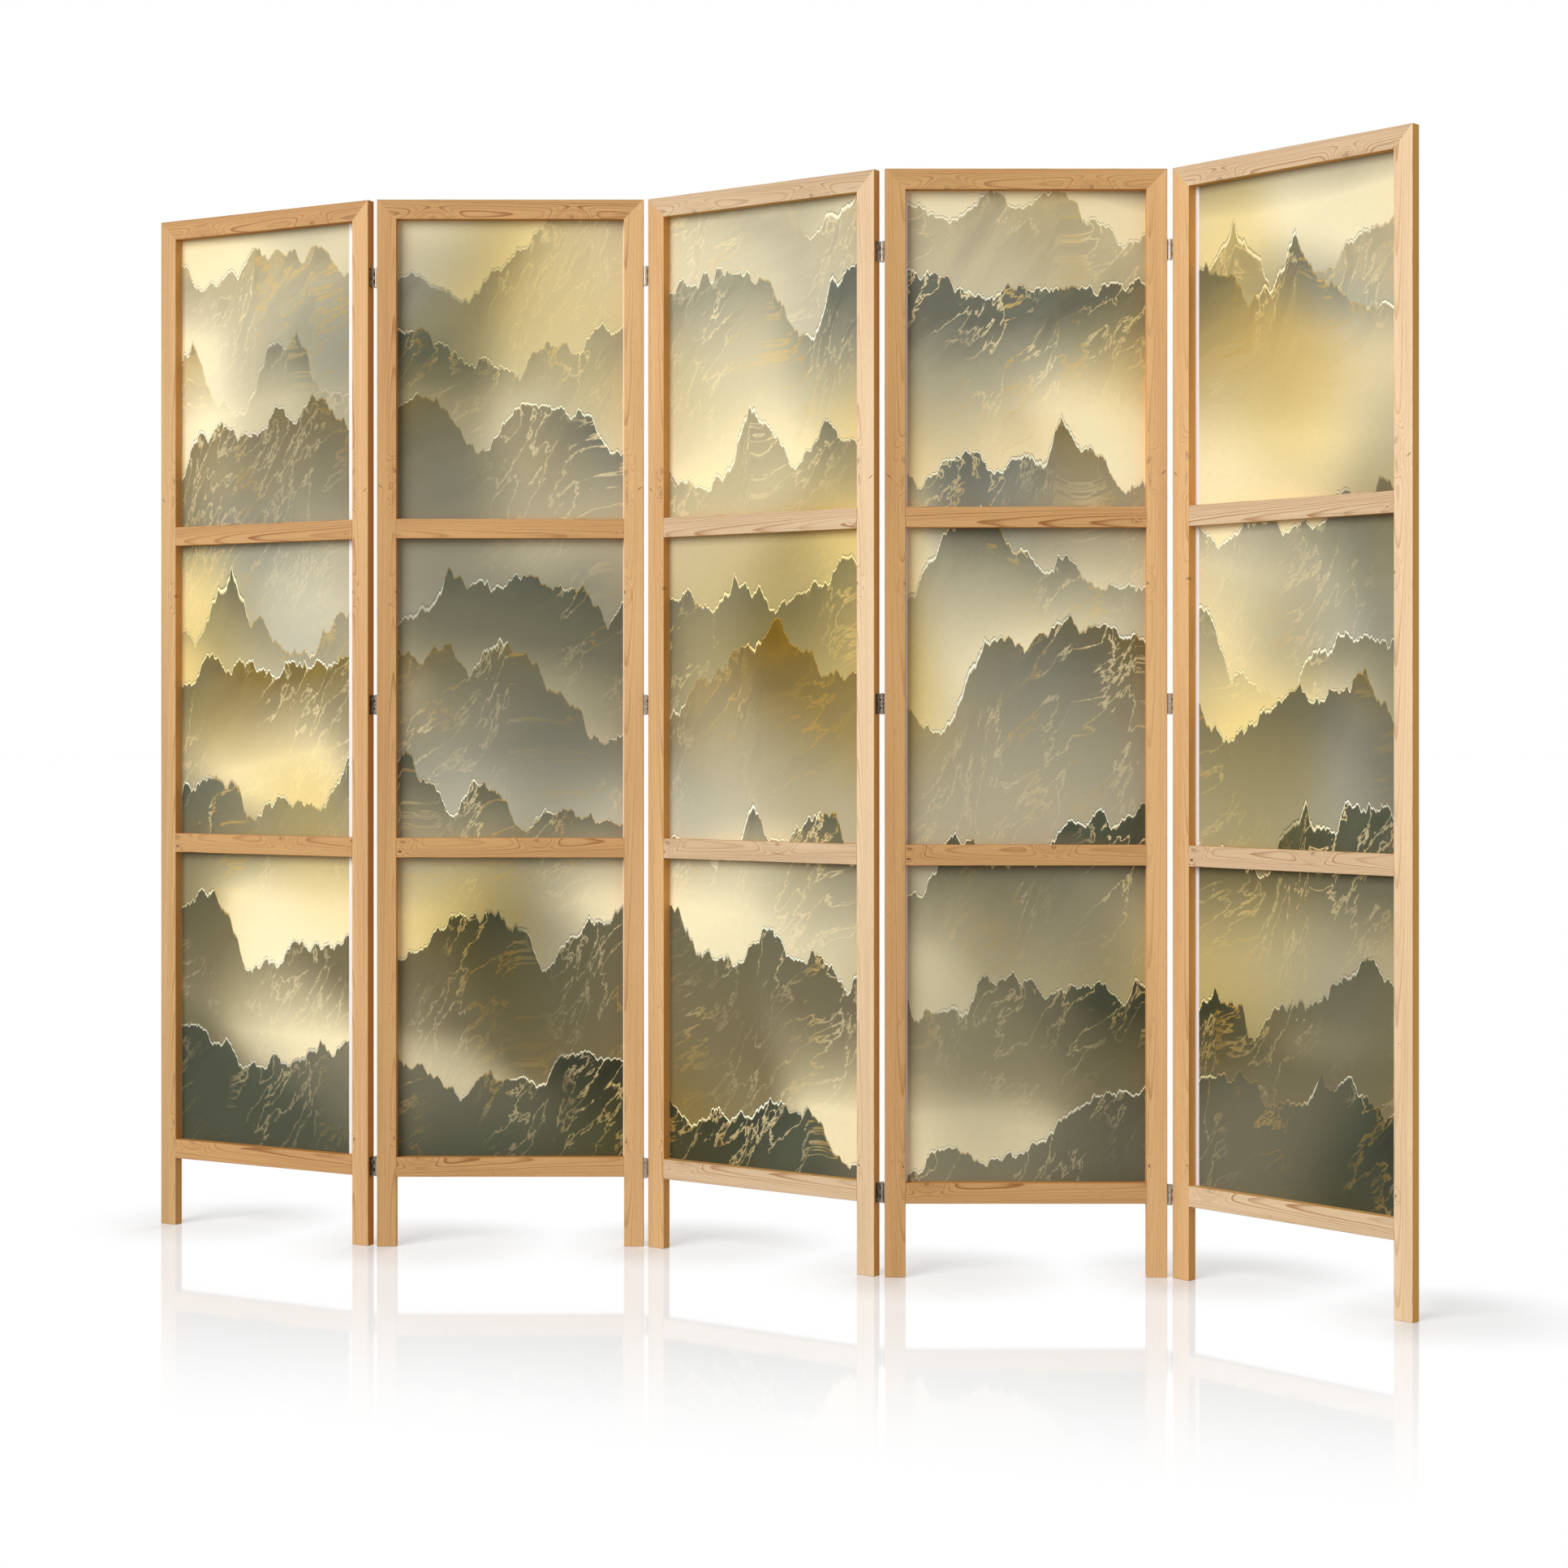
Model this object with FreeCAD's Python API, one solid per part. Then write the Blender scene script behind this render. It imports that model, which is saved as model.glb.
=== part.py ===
import FreeCAD, Part
import os

# Folding screen of five pine-framed panels. Each panel carries one printed sheet stapled to its back, and
# neighbouring panels are joined edge to edge by three butt hinges. The hinge pins lie behind the screen and
# in front of it by turns, so that the screen folds up zigzag.
# Sizes are in millimetres. A panel's own frame has x from its left edge to its right edge, y from its front
# face to its back face, and z up from the floor.

# Panel frames
PANEL_WIDTH = 410.0
FRAME_THICKNESS = 16.0
STILE_WIDTH = 30.0
RAIL_HEIGHT = 30.0
WINDOW_HEIGHT = 461.0
FOOT_HEIGHT = 107.0
EDGE_ROUND = 1.0

# Printed sheet, which laps over the wood all round
SHEET_THICKNESS = 0.5
SHEET_OVERLAP = 12.0

# Staples through the sheet into the wood
STAPLE_CROWN = 10.0
STAPLE_LEG = 5.0
STAPLE_WIRE_WIDTH = 1.2
STAPLE_WIRE_THICKNESS = 0.6
STAPLE_SHOULDER = 0.3
STAPLES_PER_WINDOW_SIDE = 3
STAPLES_PER_RAIL = 3

# Dowels: pairs in the butted rail ends, one across each mitre
DOWEL_RADIUS = 3.0
DOWEL_EDGE = 8.0
DOWEL_IN_RAIL = 15.0
DOWEL_CHAMFER = 0.6
DOWEL_WEB = 4.0
MITRE_DOWEL_COVER = 4.0

# Butt hinges
HINGE_GAP = 6.5
HINGE_HEIGHT = 30.0
HINGE_BELOW_TOP = 118.0
HINGE_MIDDLE = 833.0
HINGE_ABOVE_FLOOR = 121.0
LEAF_THICKNESS = 1.0
LEAF_MARGIN = 3.5
LEAF_CORNER = 1.5
KNUCKLE_COUNT = 5
KNUCKLE_GAP = 0.3
KNUCKLE_CLEARANCE = 0.35
PIN_RADIUS = 1.25
PIN_HEAD_RADIUS = 2.0
PIN_HEAD_HEIGHT = 0.7
PIN_HEAD_ROUND = 0.4

# Countersunk hinge screws
SCREW_LENGTH = 12.0
SCREW_RADIUS = 1.5
SCREW_HEAD_RADIUS = 2.6
SCREW_TIP_LENGTH = 2.5
SCREW_TIP_RADIUS = 0.2
SCREW_EDGE = 6.0
RECESS_SPAN = 2.6
RECESS_WIDTH = 0.5
RECESS_DEPTH = 0.6

# Clearances
FIT = 0.05
HOLE_END = 0.3
FOLDED_CLEARANCE = 0.65

# Folds as the screen stands, in degrees from flat. The two middle folds are equal, so that the second and
# fourth panels stand parallel.
FOLD_LEFT = 28.0
FOLD_MIDDLE = 34.0
FOLD_RIGHT = 47.0

ORIGIN = FreeCAD.Vector(0, 0, 0)
X_AXIS = FreeCAD.Vector(1, 0, 0)
Y_AXIS = FreeCAD.Vector(0, 1, 0)
Z_AXIS = FreeCAD.Vector(0, 0, 1)
QUARTER_TURN, HALF_TURN, FULL_TURN = 90.0, 180.0, 360.0

RAIL_NAMES = ("bottom_rail", "lower_rail", "upper_rail", "top_rail")
WINDOW_COUNT = len(RAIL_NAMES) - 1
WINDOW_PITCH = RAIL_HEIGHT + WINDOW_HEIGHT
PANEL_HEIGHT = FOOT_HEIGHT + len(RAIL_NAMES) * RAIL_HEIGHT + WINDOW_COUNT * WINDOW_HEIGHT
WINDOW_WIDTH = PANEL_WIDTH - 2 * STILE_WIDTH
RIGHT_STILE_X = PANEL_WIDTH - STILE_WIDTH
TOP_RAIL_Z = PANEL_HEIGHT - RAIL_HEIGHT
MID_THICKNESS = FRAME_THICKNESS / 2
LARGEST_ROUND = FRAME_THICKNESS / 3

# The pin stands clear of the face by the sheet and staple crown behind it, so folded backs do not touch.
PIN_PROUD = SHEET_THICKNESS + STAPLE_WIRE_THICKNESS + FOLDED_CLEARANCE
KNUCKLE_RADIUS = HINGE_GAP / 2
LEAF_REACH = FRAME_THICKNESS - LEAF_MARGIN
SCREW_IN_WOOD = SCREW_LENGTH - LEAF_THICKNESS
DOWEL_IN_STILE = STILE_WIDTH - SCREW_IN_WOOD - DOWEL_WEB
HINGE_LEVELS = (HINGE_ABOVE_FLOOR, HINGE_MIDDLE, PANEL_HEIGHT - HINGE_BELOW_TOP)
REST_FOLDS = (FOLD_LEFT, FOLD_MIDDLE, FOLD_MIDDLE, FOLD_RIGHT)
PANEL_COUNT = len(REST_FOLDS) + 1


def box_between(x_range, y_range, z_range):
    """Box between two values on each axis, given in either order."""
    low = [min(span) for span in (x_range, y_range, z_range)]
    sides = [abs(span[1] - span[0]) for span in (x_range, y_range, z_range)]
    return Part.makeBox(*sides, FreeCAD.Vector(*low))


def rounded(bar, edges):
    """Bar with the given edges rounded, as far as its thickness allows."""
    return bar.makeFillet(min(EDGE_ROUND, LARGEST_ROUND), edges)


def drilled(piece, holes):
    """Piece less those of the holes that reach into it."""
    near = [hole for hole in holes if hole.BoundBox.intersect(piece.BoundBox)]
    if not near:
        return piece
    return piece.cut(near)


def moved(shape, x, y, z):
    """Copy of a shape shifted by x, y and z."""
    return shape.translated(FreeCAD.Vector(x, y, z))


def mirrored(shape):
    """Mirror image of a shape from one side of the panel to the other."""
    return shape.mirror(FreeCAD.Vector(PANEL_WIDTH / 2, 0, 0), X_AXIS)


def even_shares(count):
    """Middles of equal parts of a length, as shares of it."""
    return [(2 * step + 1) / (2 * count) for step in range(count)]


def rail_z(index):
    """Height of the underside of a rail, counted from the bottom rail."""
    return FOOT_HEIGHT + index * WINDOW_PITCH


def pin_at_back(joint):
    """Whether the pins between panel number joint and the next lie behind the screen."""
    return joint % 2 == 1


def pin_y(joint):
    """Place of a joint's pins across the thickness of its panels when they lie flat."""
    return FRAME_THICKNESS + PIN_PROUD if pin_at_back(joint) else -PIN_PROUD


def carries_pins(panel):
    """Whether a panel's leaves have the odd knuckles, which hold the pins."""
    return panel % 2 == 0


def mitre_wedge(above):
    """Prism on one side of the left top mitre, above it for the stile's cut and below it for the rail's."""
    outer_x, inner_x = -STILE_WIDTH, 2 * STILE_WIDTH
    high_z, low_z = PANEL_HEIGHT + RAIL_HEIGHT, TOP_RAIL_Z - RAIL_HEIGHT
    third = (inner_x, high_z) if above else (outer_x, low_z)
    corners = [(outer_x, high_z), (inner_x, low_z), third, (outer_x, high_z)]
    front_y, back_y = -FRAME_THICKNESS, 2 * FRAME_THICKNESS
    outline = Part.makePolygon([FreeCAD.Vector(x, front_y, z) for x, z in corners])
    return Part.Face(outline).extrude(Y_AXIS * (back_y - front_y))


def make_stile():
    """Left stile: a bar from the floor to the mitred top corner."""
    bar = Part.makeBox(STILE_WIDTH, FRAME_THICKNESS, PANEL_HEIGHT)
    below_top = [edge for edge in bar.Edges if edge.BoundBox.ZMin < PANEL_HEIGHT / 2]
    return rounded(bar, below_top).cut(mitre_wedge(True))


def make_rail(length):
    """Plain bar along x with its long edges rounded."""
    bar = Part.makeBox(length, FRAME_THICKNESS, RAIL_HEIGHT)
    return rounded(bar, [edge for edge in bar.Edges if edge.BoundBox.XLength > length / 2])


def make_top_rail():
    """Top rail, mitred at both ends."""
    wedge = mitre_wedge(False)
    return moved(make_rail(PANEL_WIDTH), 0, 0, TOP_RAIL_Z).cut([wedge, mirrored(wedge)])


def dowel_rows():
    """Start, direction and length of each dowel in the left half of a panel."""
    rows = []
    for index in range(WINDOW_COUNT):
        for z in (rail_z(index) + DOWEL_EDGE, rail_z(index) + RAIL_HEIGHT - DOWEL_EDGE):
            start = FreeCAD.Vector(STILE_WIDTH - DOWEL_IN_STILE, MID_THICKNESS, z)
            rows.append((start, X_AXIS, DOWEL_IN_STILE + DOWEL_IN_RAIL))
    across = FreeCAD.Vector(RAIL_HEIGHT, 0, STILE_WIDTH).normalize()
    half_in_stile = (STILE_WIDTH / 2 - MITRE_DOWEL_COVER - DOWEL_RADIUS * across.z) / across.x
    half_in_rail = (RAIL_HEIGHT / 2 - MITRE_DOWEL_COVER - DOWEL_RADIUS * across.x) / across.z
    half = min(half_in_stile, half_in_rail)
    centre = FreeCAD.Vector(STILE_WIDTH / 2, MID_THICKNESS, PANEL_HEIGHT - RAIL_HEIGHT / 2)
    rows.append((centre - across * half, across, 2 * half))
    return rows


def make_dowels():
    """All dowels of a panel, and the holes that they fit."""
    dowels, holes = [], []
    for start, direction, length in dowel_rows():
        peg = Part.makeCylinder(DOWEL_RADIUS, length, start, direction)
        rims = [edge for edge in peg.Edges if isinstance(edge.Curve, Part.Circle)]
        peg = peg.makeChamfer(DOWEL_CHAMFER, rims)
        hole_start = start - direction * HOLE_END
        hole = Part.makeCylinder(DOWEL_RADIUS + FIT, length + 2 * HOLE_END, hole_start, direction)
        dowels += [peg, mirrored(peg)]
        holes += [hole, mirrored(hole)]
    return dowels, holes


def make_staple():
    """Staple centred on the back face of the frame, its crown along x outside the sheet."""
    half = STAPLE_CROWN / 2
    inner = half - STAPLE_WIRE_THICKNESS
    width = (-STAPLE_WIRE_WIDTH / 2, STAPLE_WIRE_WIDTH / 2)
    outside = SHEET_THICKNESS + STAPLE_WIRE_THICKNESS
    tip = SHEET_THICKNESS - STAPLE_LEG
    block = box_between((-half, half), (tip, outside), width)
    shoulders = [
        edge
        for edge in block.Edges
        if edge.BoundBox.YMin > SHEET_THICKNESS and edge.BoundBox.ZLength > STAPLE_WIRE_WIDTH / 2
    ]
    block = block.makeFillet(STAPLE_SHOULDER, shoulders)
    mouth = box_between((-inner, inner), (tip, SHEET_THICKNESS), width)
    return block.cut(mouth)


def make_staple_slots():
    """The two slots that a staple's legs fit."""
    half = STAPLE_CROWN / 2
    width = STAPLE_WIRE_WIDTH / 2 + FIT
    depth = (SHEET_THICKNESS - STAPLE_LEG - HOLE_END, SHEET_THICKNESS)
    slots = []
    for side in (-1, 1):
        span = (side * (half + FIT), side * (half - STAPLE_WIRE_THICKNESS - FIT))
        slots.append(box_between(span, depth, (-width, width)))
    return slots


def staple_places():
    """Centre of each staple on the back of a panel, and whether its crown stands upright."""
    places = []
    margin = SHEET_OVERLAP / 2
    for index in range(WINDOW_COUNT):
        for share in even_shares(STAPLES_PER_WINDOW_SIDE):
            z = rail_z(index) + RAIL_HEIGHT + share * WINDOW_HEIGHT
            places += [(STILE_WIDTH - margin, z, True), (RIGHT_STILE_X + margin, z, True)]
    middles = [rail_z(index) + RAIL_HEIGHT / 2 for index in range(WINDOW_COUNT)]
    levels = [rail_z(0) + RAIL_HEIGHT - margin] + middles[1:] + [TOP_RAIL_Z + margin]
    for z in levels:
        for share in even_shares(STAPLES_PER_RAIL):
            places.append((STILE_WIDTH + share * WINDOW_WIDTH, z, False))
    return places


def make_staples():
    """All staples of a panel, and the slots that their legs fit."""
    staple, slots = make_staple(), make_staple_slots()
    staples, holes = [], []
    for x, z, upright in staple_places():
        for source, target in (([staple], staples), (slots, holes)):
            for shape in source:
                copy = shape.copy()
                if upright:
                    copy = copy.rotate(ORIGIN, Y_AXIS, QUARTER_TURN)
                target.append(moved(copy, x, FRAME_THICKNESS, z))
    return staples, holes


def make_sheet(holes):
    """Printed sheet flat on the back of the frame, pierced by the staples."""
    x_range = (STILE_WIDTH - SHEET_OVERLAP, RIGHT_STILE_X + SHEET_OVERLAP)
    y_range = (FRAME_THICKNESS, FRAME_THICKNESS + SHEET_THICKNESS)
    z_range = (rail_z(0) + RAIL_HEIGHT - SHEET_OVERLAP, TOP_RAIL_Z + SHEET_OVERLAP)
    return drilled(box_between(x_range, y_range, z_range), holes)


def knuckle_spans(odd):
    """Heights from the hinge's middle of the first, third and fifth knuckles, or of the others."""
    pitch = HINGE_HEIGHT / KNUCKLE_COUNT
    spans = []
    for index in range(0 if odd else 1, KNUCKLE_COUNT, 2):
        low = index * pitch - HINGE_HEIGHT / 2
        spans.append((low + KNUCKLE_GAP / 2, low + pitch - KNUCKLE_GAP / 2))
    return spans


def knuckle_cylinder(radius, span):
    """Cylinder on the pin's axis between two heights."""
    return Part.makeCylinder(radius, span[1] - span[0], FreeCAD.Vector(0, 0, span[0]))


def screw_places(side, depth):
    """Where the screws of one leaf enter it, measured from the pin."""
    x = side * (KNUCKLE_RADIUS - LEAF_THICKNESS)
    y = depth * (PIN_PROUD + MID_THICKNESS)
    z = HINGE_HEIGHT / 2 - SCREW_EDGE
    return [FreeCAD.Vector(x, y, -z), FreeCAD.Vector(x, y, z)]


def make_leaf(side, depth, odd):
    """Hinge leaf about its pin. Side is the way to its stile along x, depth the way over the edge along y."""
    half = HINGE_HEIGHT / 2
    end_y = depth * (PIN_PROUD + LEAF_REACH)
    faces = (side * (KNUCKLE_RADIUS - LEAF_THICKNESS), side * KNUCKLE_RADIUS)
    plate = box_between(faces, (0, end_y), (-half, half))
    corners = [
        edge
        for edge in plate.Edges
        if edge.BoundBox.XLength > LEAF_THICKNESS / 2 and abs(edge.CenterOfMass.y) > LEAF_REACH / 2
    ]
    plate = plate.makeFillet(LEAF_CORNER, corners)
    swept = KNUCKLE_RADIUS + KNUCKLE_CLEARANCE
    notches = []
    for low, high in knuckle_spans(not odd):
        notches.append(knuckle_cylinder(swept, (low - KNUCKLE_GAP, high + KNUCKLE_GAP)))
    plate = plate.cut(notches)
    leaf = plate.fuse([knuckle_cylinder(KNUCKLE_RADIUS, span) for span in knuckle_spans(odd)])
    cuts = [knuckle_cylinder(PIN_RADIUS + FIT, (-HINGE_HEIGHT, HINGE_HEIGHT))]
    for place in screw_places(side, depth):
        head, shank = SCREW_HEAD_RADIUS + FIT, SCREW_RADIUS + FIT
        cuts.append(Part.makeCone(head, shank, LEAF_THICKNESS, place, X_AXIS * side))
    return leaf.cut(cuts).removeSplitter()


def make_pin():
    """Hinge pin with a rounded head at each end."""
    half = HINGE_HEIGHT / 2
    pin = Part.makeCylinder(PIN_RADIUS, HINGE_HEIGHT, FreeCAD.Vector(0, 0, -half))
    heads = []
    for direction in (-1, 1):
        outward = Z_AXIS * direction
        head = Part.makeCylinder(PIN_HEAD_RADIUS, PIN_HEAD_HEIGHT, outward * half, outward)
        rims = [edge for edge in head.Edges if isinstance(edge.Curve, Part.Circle)]
        outer = [rim for rim in rims if abs(rim.CenterOfMass.z) > half + PIN_HEAD_HEIGHT / 2]
        heads.append(head.makeFillet(PIN_HEAD_ROUND, outer))
    return pin.fuse(heads)


def make_screw():
    """Countersunk screw along x, its head's flat at the origin and a cross recess in it."""
    profile = [
        (0, 0),
        (0, SCREW_HEAD_RADIUS),
        (LEAF_THICKNESS, SCREW_RADIUS),
        (SCREW_LENGTH - SCREW_TIP_LENGTH, SCREW_RADIUS),
        (SCREW_LENGTH, SCREW_TIP_RADIUS),
        (SCREW_LENGTH, 0),
        (0, 0),
    ]
    outline = Part.makePolygon([FreeCAD.Vector(x, 0, radius) for x, radius in profile])
    screw = Part.Face(outline).revolve(ORIGIN, X_AXIS, FULL_TURN)
    long_side = (-RECESS_SPAN / 2, RECESS_SPAN / 2)
    short_side = (-RECESS_WIDTH / 2, RECESS_WIDTH / 2)
    depth = (-RECESS_DEPTH, RECESS_DEPTH)
    return screw.cut([box_between(depth, long_side, short_side), box_between(depth, short_side, long_side)])


def make_hinge_side(pin_x, side, joint, odd):
    """Leaves, screws, screw holes and pins of one panel's half of a joint, in the panel's frame."""
    depth = -1 if pin_at_back(joint) else 1
    leaf, pin, screw = make_leaf(side, depth, odd), make_pin(), make_screw()
    if side < 0:
        screw = screw.rotate(ORIGIN, Z_AXIS, HALF_TURN)
    leaves, screws, holes, pins = [], [], [], []
    for z in HINGE_LEVELS:
        centre = FreeCAD.Vector(pin_x, pin_y(joint), z)
        leaves.append(leaf.translated(centre))
        pins.append(pin.translated(centre))
        for place in screw_places(side, depth):
            screws.append(screw.translated(centre + place))
            hole_start = centre + place + X_AXIS * (side * LEAF_THICKNESS)
            hole_depth = SCREW_IN_WOOD + HOLE_END
            holes.append(Part.makeCylinder(SCREW_RADIUS + FIT, hole_depth, hole_start, X_AXIS * side))
    return leaves, screws, holes, pins


def make_panel(number):
    """All pieces of one panel by name, in the panel's own frame."""
    dowels, dowel_holes = make_dowels()
    staples, staple_holes = make_staples()
    pieces = {"dowels": dowels, "staples": staples, "printed_sheet": [make_sheet(staple_holes)]}
    screws, screw_holes, pins = [], [], []
    sides = []
    if number > 1:
        sides.append(("left_hinge_leaves", -HINGE_GAP / 2, 1, number - 1))
    if number < PANEL_COUNT:
        sides.append(("right_hinge_leaves", PANEL_WIDTH + HINGE_GAP / 2, -1, number))
    for name, pin_x, side, joint in sides:
        hinge_side = make_hinge_side(pin_x, side, joint, carries_pins(number))
        pieces[name] = hinge_side[0]
        screws += hinge_side[1]
        screw_holes += hinge_side[2]
        pins += hinge_side[3]
    pieces["hinge_screws"] = screws
    if carries_pins(number):
        pieces["hinge_pins"] = pins
    holes = dowel_holes + staple_holes + screw_holes
    stile = make_stile()
    pieces["left_stile"] = [drilled(stile, holes)]
    pieces["right_stile"] = [drilled(mirrored(stile), holes)]
    for index, name in enumerate(RAIL_NAMES[:-1]):
        rail = moved(make_rail(WINDOW_WIDTH), STILE_WIDTH, 0, rail_z(index))
        pieces[name] = [drilled(rail, holes)]
    pieces[RAIL_NAMES[-1]] = [drilled(make_top_rail(), holes)]
    return pieces


def folded_places():
    """Placement of each panel as the screen stands, and the place of each joint's pins."""
    place = FreeCAD.Placement(FreeCAD.Vector(), FreeCAD.Rotation(Z_AXIS, -FOLD_LEFT))
    places, pins = [place], []
    for joint, fold in enumerate(REST_FOLDS, start=1):
        pin = FreeCAD.Vector(PANEL_WIDTH + HINGE_GAP / 2, pin_y(joint), 0)
        turn = FreeCAD.Rotation(Z_AXIS, fold if pin_at_back(joint) else -fold)
        flat = FreeCAD.Placement(FreeCAD.Vector(PANEL_WIDTH + HINGE_GAP, 0, 0), FreeCAD.Rotation())
        pins.append(place.multVec(pin))
        place = place * FreeCAD.Placement(FreeCAD.Vector(), turn, pin) * flat
        places.append(place)
    return places, pins


def main():
    """Build the panels, stand them zigzag about the origin on the floor, and write them."""
    os.makedirs("parts", exist_ok=True)
    places, pins = folded_places()
    nodes = {}
    for number, place in enumerate(places, start=1):
        for name, solids in make_panel(number).items():
            shape = solids[0] if len(solids) == 1 else Part.makeCompound(solids)
            nodes[f"panel_{number}_{name}"] = shape.transformed(place.toMatrix())
    outline = FreeCAD.BoundBox()
    for shape in nodes.values():
        outline.add(shape.optimalBoundingBox())
    to_origin = FreeCAD.Vector(-outline.Center.x, -outline.Center.y, 0)
    for name, shape in nodes.items():
        shape.translated(to_origin).exportStep(f"parts/{name}.step")
    for joint, pin in enumerate(pins, start=1):
        spot = pin + to_origin
        print(f"pins {joint}-{joint + 1}: x {spot.x:.4f} y {spot.y:.4f}")
    print(f"{len(nodes)} nodes, {outline.XLength:.2f} x {outline.YLength:.2f} x {outline.ZLength:.2f}")


main()
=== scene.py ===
import logging
import math
import random
from dataclasses import dataclass, replace
from enum import Enum

import bpy
from mathutils import Color, Euler, Matrix, Vector


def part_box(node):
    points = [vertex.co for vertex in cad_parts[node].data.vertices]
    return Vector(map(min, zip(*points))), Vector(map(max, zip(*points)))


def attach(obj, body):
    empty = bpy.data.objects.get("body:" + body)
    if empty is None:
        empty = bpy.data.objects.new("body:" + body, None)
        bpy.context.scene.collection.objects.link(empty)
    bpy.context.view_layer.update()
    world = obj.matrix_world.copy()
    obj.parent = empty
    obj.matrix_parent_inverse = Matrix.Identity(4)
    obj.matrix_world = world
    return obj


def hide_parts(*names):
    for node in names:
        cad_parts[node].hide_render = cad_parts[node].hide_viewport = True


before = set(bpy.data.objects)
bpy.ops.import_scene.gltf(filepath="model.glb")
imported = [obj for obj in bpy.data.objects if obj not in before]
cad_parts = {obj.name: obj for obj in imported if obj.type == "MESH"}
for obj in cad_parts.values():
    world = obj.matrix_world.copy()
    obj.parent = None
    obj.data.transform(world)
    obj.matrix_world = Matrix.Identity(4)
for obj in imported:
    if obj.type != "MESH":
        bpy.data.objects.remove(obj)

# Looks of a folding screen of five pine-framed panels. Each panel carries one printed sheet, stapled to its
# back. Lengths are in metres. A panel's own frame has x from its left edge to its right edge, y from its
# front face to its back face, and z up from the floor. Swells are how many swells of a noise there are to a
# metre. A span holds the two ends of a range, and a pair holds two values that belong together.

LOG = logging.getLogger("folding_screen")
PANELS = range(1, 6)
RAILS = ("bottom_rail", "lower_rail", "upper_rail", "top_rail")
STILES = ("left_stile", "right_stile")
MILLIMETRE = 0.001
HINGE_GAP = 6.5 * MILLIMETRE
SCREEN_WHITE = 255
HALF = 0.5

# Sockets of a node that mixes colours
MIX_FACTOR, MIX_FIRST, MIX_SECOND, MIX_RESULT = 0, 6, 7, 2

Colour = tuple[float, float, float, float]
Place = tuple[float, float, float]
Span = tuple[float, float]
Pair = tuple[float, float]
Feed = float | tuple[float, ...] | Vector | Euler | bpy.types.NodeSocket


def srgb(red: int, green: int, blue: int) -> Colour:
    """Give the opaque shader colour of a shade named by its screen values from 0 to 255."""
    shade = Color([value / SCREEN_WHITE for value in (red, green, blue)])
    return (*shade.from_srgb_to_scene_linear(), 1.0)


def toned(colour: Colour, tone: float) -> Colour:
    """Make a colour darker or lighter by a factor."""
    return (*(min(1.0, tone * value) for value in colour[:3]), colour[3])


WHITE = srgb(255, 255, 255)


class Kind(Enum):
    """What a node group's socket carries."""

    VALUE = "NodeSocketFloat"
    COLOUR = "NodeSocketColor"
    VECTOR = "NodeSocketVector"


class Noise(Enum):
    """What a noise gives, by the name of its node's output."""

    SINGLE = "Fac"
    TRIPLE = "Color"


class Side(Enum):
    """A face of the printed sheet, by its material slot."""

    FRONT = 0
    BACK = 1


Sockets = dict[Kind, tuple[str, ...]]


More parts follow.
